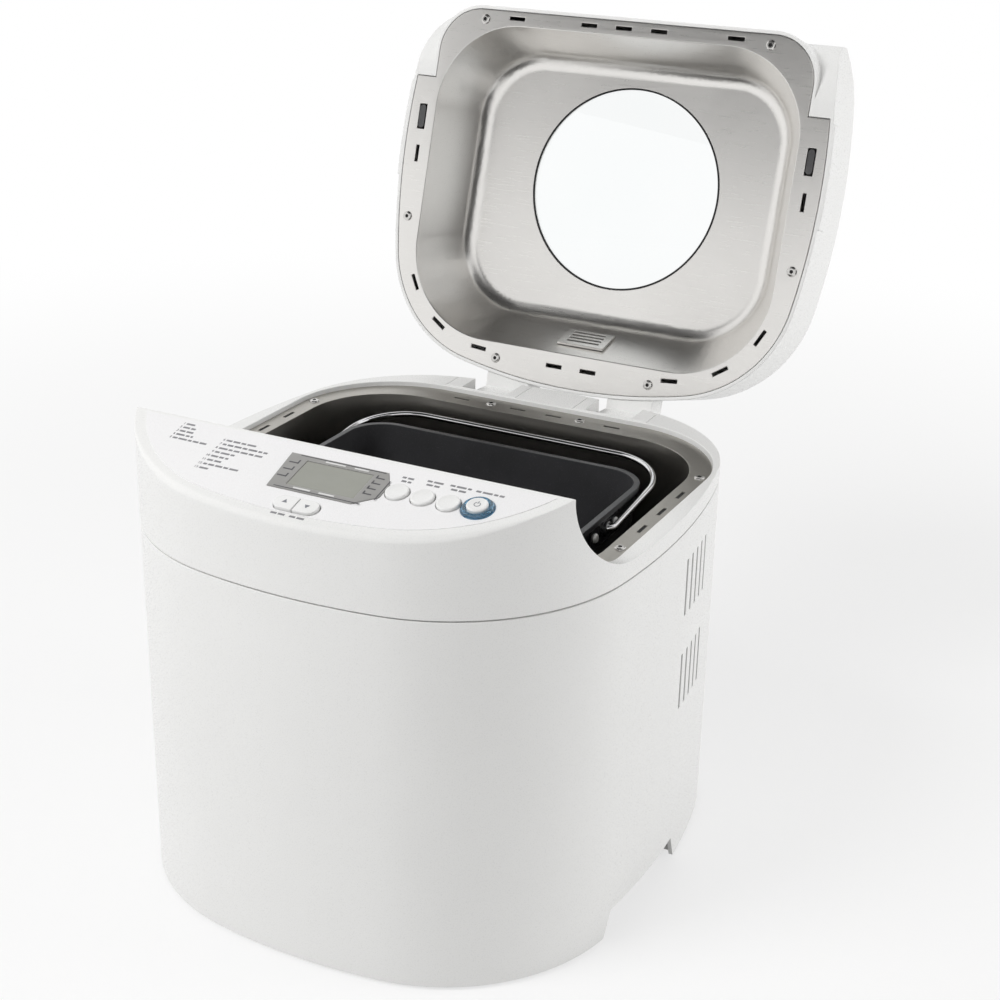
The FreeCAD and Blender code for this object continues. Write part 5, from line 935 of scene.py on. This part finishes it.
# dark pads under the chamber's flange slots: painted shade seen through the open slots
slotKey = {"Length": 11.9 * mm, "Width": 2.3 * mm, "Corner": 0.2 * mm, "Thickness": 0.3 * mm, "sheet": 1.0,
           "sideIn": 6.25, "rearIn": 10.25, "pitch": 30, "rearPlaces": (13.7, 57.5)}
slotSpots = []
ovenMiddle = sum(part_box("pan_shaft"), Vector()).y / 2
slotHeight = ovenHigh.z - slotKey["sheet"] * mm
for side in (-1, 1):
    x = side * (ovenHigh.x - slotKey["sideIn"] * mm)
    for step in (-1, 0, 1):
        spot = Matrix.Translation((x, ovenMiddle + step * slotKey["pitch"] * mm, slotHeight))
        slotSpots.append((spot @ quarterTurn, asMade))
    for x in slotKey["rearPlaces"]:
        spot = Matrix.Translation((side * x * mm, ovenHigh.y - slotKey["rearIn"] * mm, slotHeight))
        slotSpots.append((spot, asMade))
slotValues = {**slotKey, "Finish": looks["paintedShadeDark"]}
grow("ovenSlotShadePads", padTree, slotSpots, slotValues, bodyOf["oven_chamber"])
print("fasteners set")

# stage, light and camera

white = (1, 1, 1, 1)
stageKey = {"size": 16.0, "near": 0.45, "far": 1.5, "fade": 0.68, "tone": (0.86, 0.86, 0.86, 1)}
worldKey = {"tone": (1, 0.995, 0.985, 1), "strength": 0.38}


def flatCard(name, width, height, place, look):
    x = width / 2
    y = height / 2
    corners = [place @ Vector(corner) for corner in ((-x, -y, 0), (x, -y, 0), (x, y, 0), (-x, y, 0))]
    mesh = bpy.data.meshes.new(name)
    mesh.from_pydata([tuple(corner) for corner in corners], [], [(0, 1, 2, 3)])
    mesh.materials.append(look)
    return addObject(name, mesh)


def seenRays(tree):  # one for rays that show a surface: straight, in a polish or through glass
    path = addNode(tree, "ShaderNodeLightPath")
    seen = addNode(tree, "ShaderNodeMath", operation="MAXIMUM")
    seenToo = addNode(tree, "ShaderNodeMath", operation="MAXIMUM")
    tree.links.new(path.outputs["Is Camera Ray"], seen.inputs[0])
    tree.links.new(path.outputs["Is Glossy Ray"], seen.inputs[1])
    tree.links.new(seen.outputs[0], seenToo.inputs[0])
    tree.links.new(path.outputs["Is Transmission Ray"], seenToo.inputs[1])
    return seenToo.outputs[0]


def blendShaders(tree, end, share, first, second):
    blend = addNode(tree, "ShaderNodeMixShader")
    out = addNode(tree, end)
    tree.links.new(share, blend.inputs[0])
    tree.links.new(first.outputs[0], blend.inputs[1])
    tree.links.new(second.outputs[0], blend.inputs[2])
    tree.links.new(blend.outputs[0], out.inputs["Surface"])


def addShader(tree, kind, colour, strength=None):
    shader = addNode(tree, kind)
    shader.inputs["Color"].default_value = colour
    if strength is not None:
        shader.inputs["Strength"].default_value = strength
    return shader


floorLook = bpy.data.materials.new("paleFloor")
floorLook.use_nodes = True
tree = floorLook.node_tree
tree.nodes.clear()
matte = addShader(tree, "ShaderNodeBsdfDiffuse", stageKey["tone"])
glow = addShader(tree, "ShaderNodeEmission", white, 1.0)
coord = addNode(tree, "ShaderNodeTexCoord")
away = addNode(tree, "ShaderNodeVectorMath", operation="LENGTH")
fade = addNode(tree, "ShaderNodeMapRange", interpolation_type="SMOOTHSTEP")
fade.inputs["From Min"].default_value = stageKey["near"]
fade.inputs["From Max"].default_value = stageKey["far"]
fade.inputs["To Min"].default_value = stageKey["fade"]
fade.inputs["To Max"].default_value = 1.0
share = addNode(tree, "ShaderNodeMath", operation="MULTIPLY")
tree.links.new(coord.outputs["Object"], away.inputs[0])
tree.links.new(away.outputs["Value"], fade.inputs["Value"])
tree.links.new(seenRays(tree), share.inputs[0])
tree.links.new(fade.outputs["Result"], share.inputs[1])
blendShaders(tree, "ShaderNodeOutputMaterial", share.outputs[0], matte, glow)
floor = flatCard("floor", stageKey["size"], stageKey["size"], Matrix.Identity(4), floorLook)

world = bpy.data.worlds.new("studio")
bpy.context.scene.world = world
world.use_nodes = True
tree = world.node_tree
tree.nodes.clear()
soft = addShader(tree, "ShaderNodeBackground", worldKey["tone"], worldKey["strength"])
plain = addShader(tree, "ShaderNodeBackground", white, 1.0)
blendShaders(tree, "ShaderNodeOutputWorld", seenRays(tree), soft, plain)

lamps = {  # name: place, aim, size and power
    "keyLamp": ((-1.0, -1.5, 2.0), (0, 0, 0.25), 1.2, 38),
    "sideLamp": ((2.0, 0.75, 0.55), (0, 0, 0.25), 1.2, 19),
    "topLamp": ((-0.3, 0.0, 2.3), (0, 0, 0.25), 1.4, 5),
}
for name, (place, aim, size, power) in lamps.items():
    lamp = bpy.data.lights.new(name, "AREA")
    lamp.shape = "DISK"
    lamp.size = size
    lamp.energy = power
    holder = addObject(name, lamp)
    holder.location = place
    holder.rotation_euler = (Vector(aim) - Vector(place)).to_track_quat("-Z", "Y").to_euler()
    holder.visible_camera = False
    holder.visible_glossy = False
    holder.visible_transmission = False

flags = {  # dark studio cards that only polished surfaces see: place, aim, width, height, tone
    "frontFlag": ((-0.48, -1.15, 1.355), (0, 0.17, 1.355), 0.8, 0.81, 0.04),
    "topFlag": ((-0.1, -0.35, 1.95), (-0.1, -0.35, 0), 2.2, 2.2, 0.03),
    "rightFlag": ((1.1, -0.4, 0.55), (0, 0.17, 0.5), 1.15, 1.4, 0.03),
}
for name, (place, aim, width, height, tone) in flags.items():
    cardLook = bpy.data.materials.new(name)
    cardLook.use_nodes = True
    shader = cardLook.node_tree.nodes["Principled BSDF"]
    shader.inputs["Base Color"].default_value = (tone, tone, tone, 1)
    shader.inputs["Roughness"].default_value = 1.0
    facing = (Vector(aim) - Vector(place)).to_track_quat("Z", "Y").to_matrix().to_4x4()
    card = flatCard(name, width, height, Matrix.Translation(place) @ facing, cardLook)
    card.visible_camera = False
    card.visible_diffuse = False
    card.visible_transmission = False
    card.visible_shadow = False

cameraKey = {"place": (0.5078, -0.9852, 0.6712), "aim": (0, 0.018, 0.2019), "roll": 1.183, "lens": 64.73,
             "sensor": 36}
camera = bpy.data.cameras.new("camera")
camera.sensor_width = cameraKey["sensor"]
camera.lens = cameraKey["lens"]
cameraHolder = addObject("camera", camera)
cameraHolder.location = cameraKey["place"]
sight = (Vector(cameraKey["aim"]) - Vector(cameraKey["place"])).to_track_quat("-Z", "Y")
cameraHolder.rotation_euler = (sight @ Quaternion((0, 0, 1), math.radians(cameraKey["roll"]))).to_euler()
bpy.context.scene.camera = cameraHolder
bpy.context.scene.view_settings.view_transform = "Standard"
print("stage, lamps and camera set")
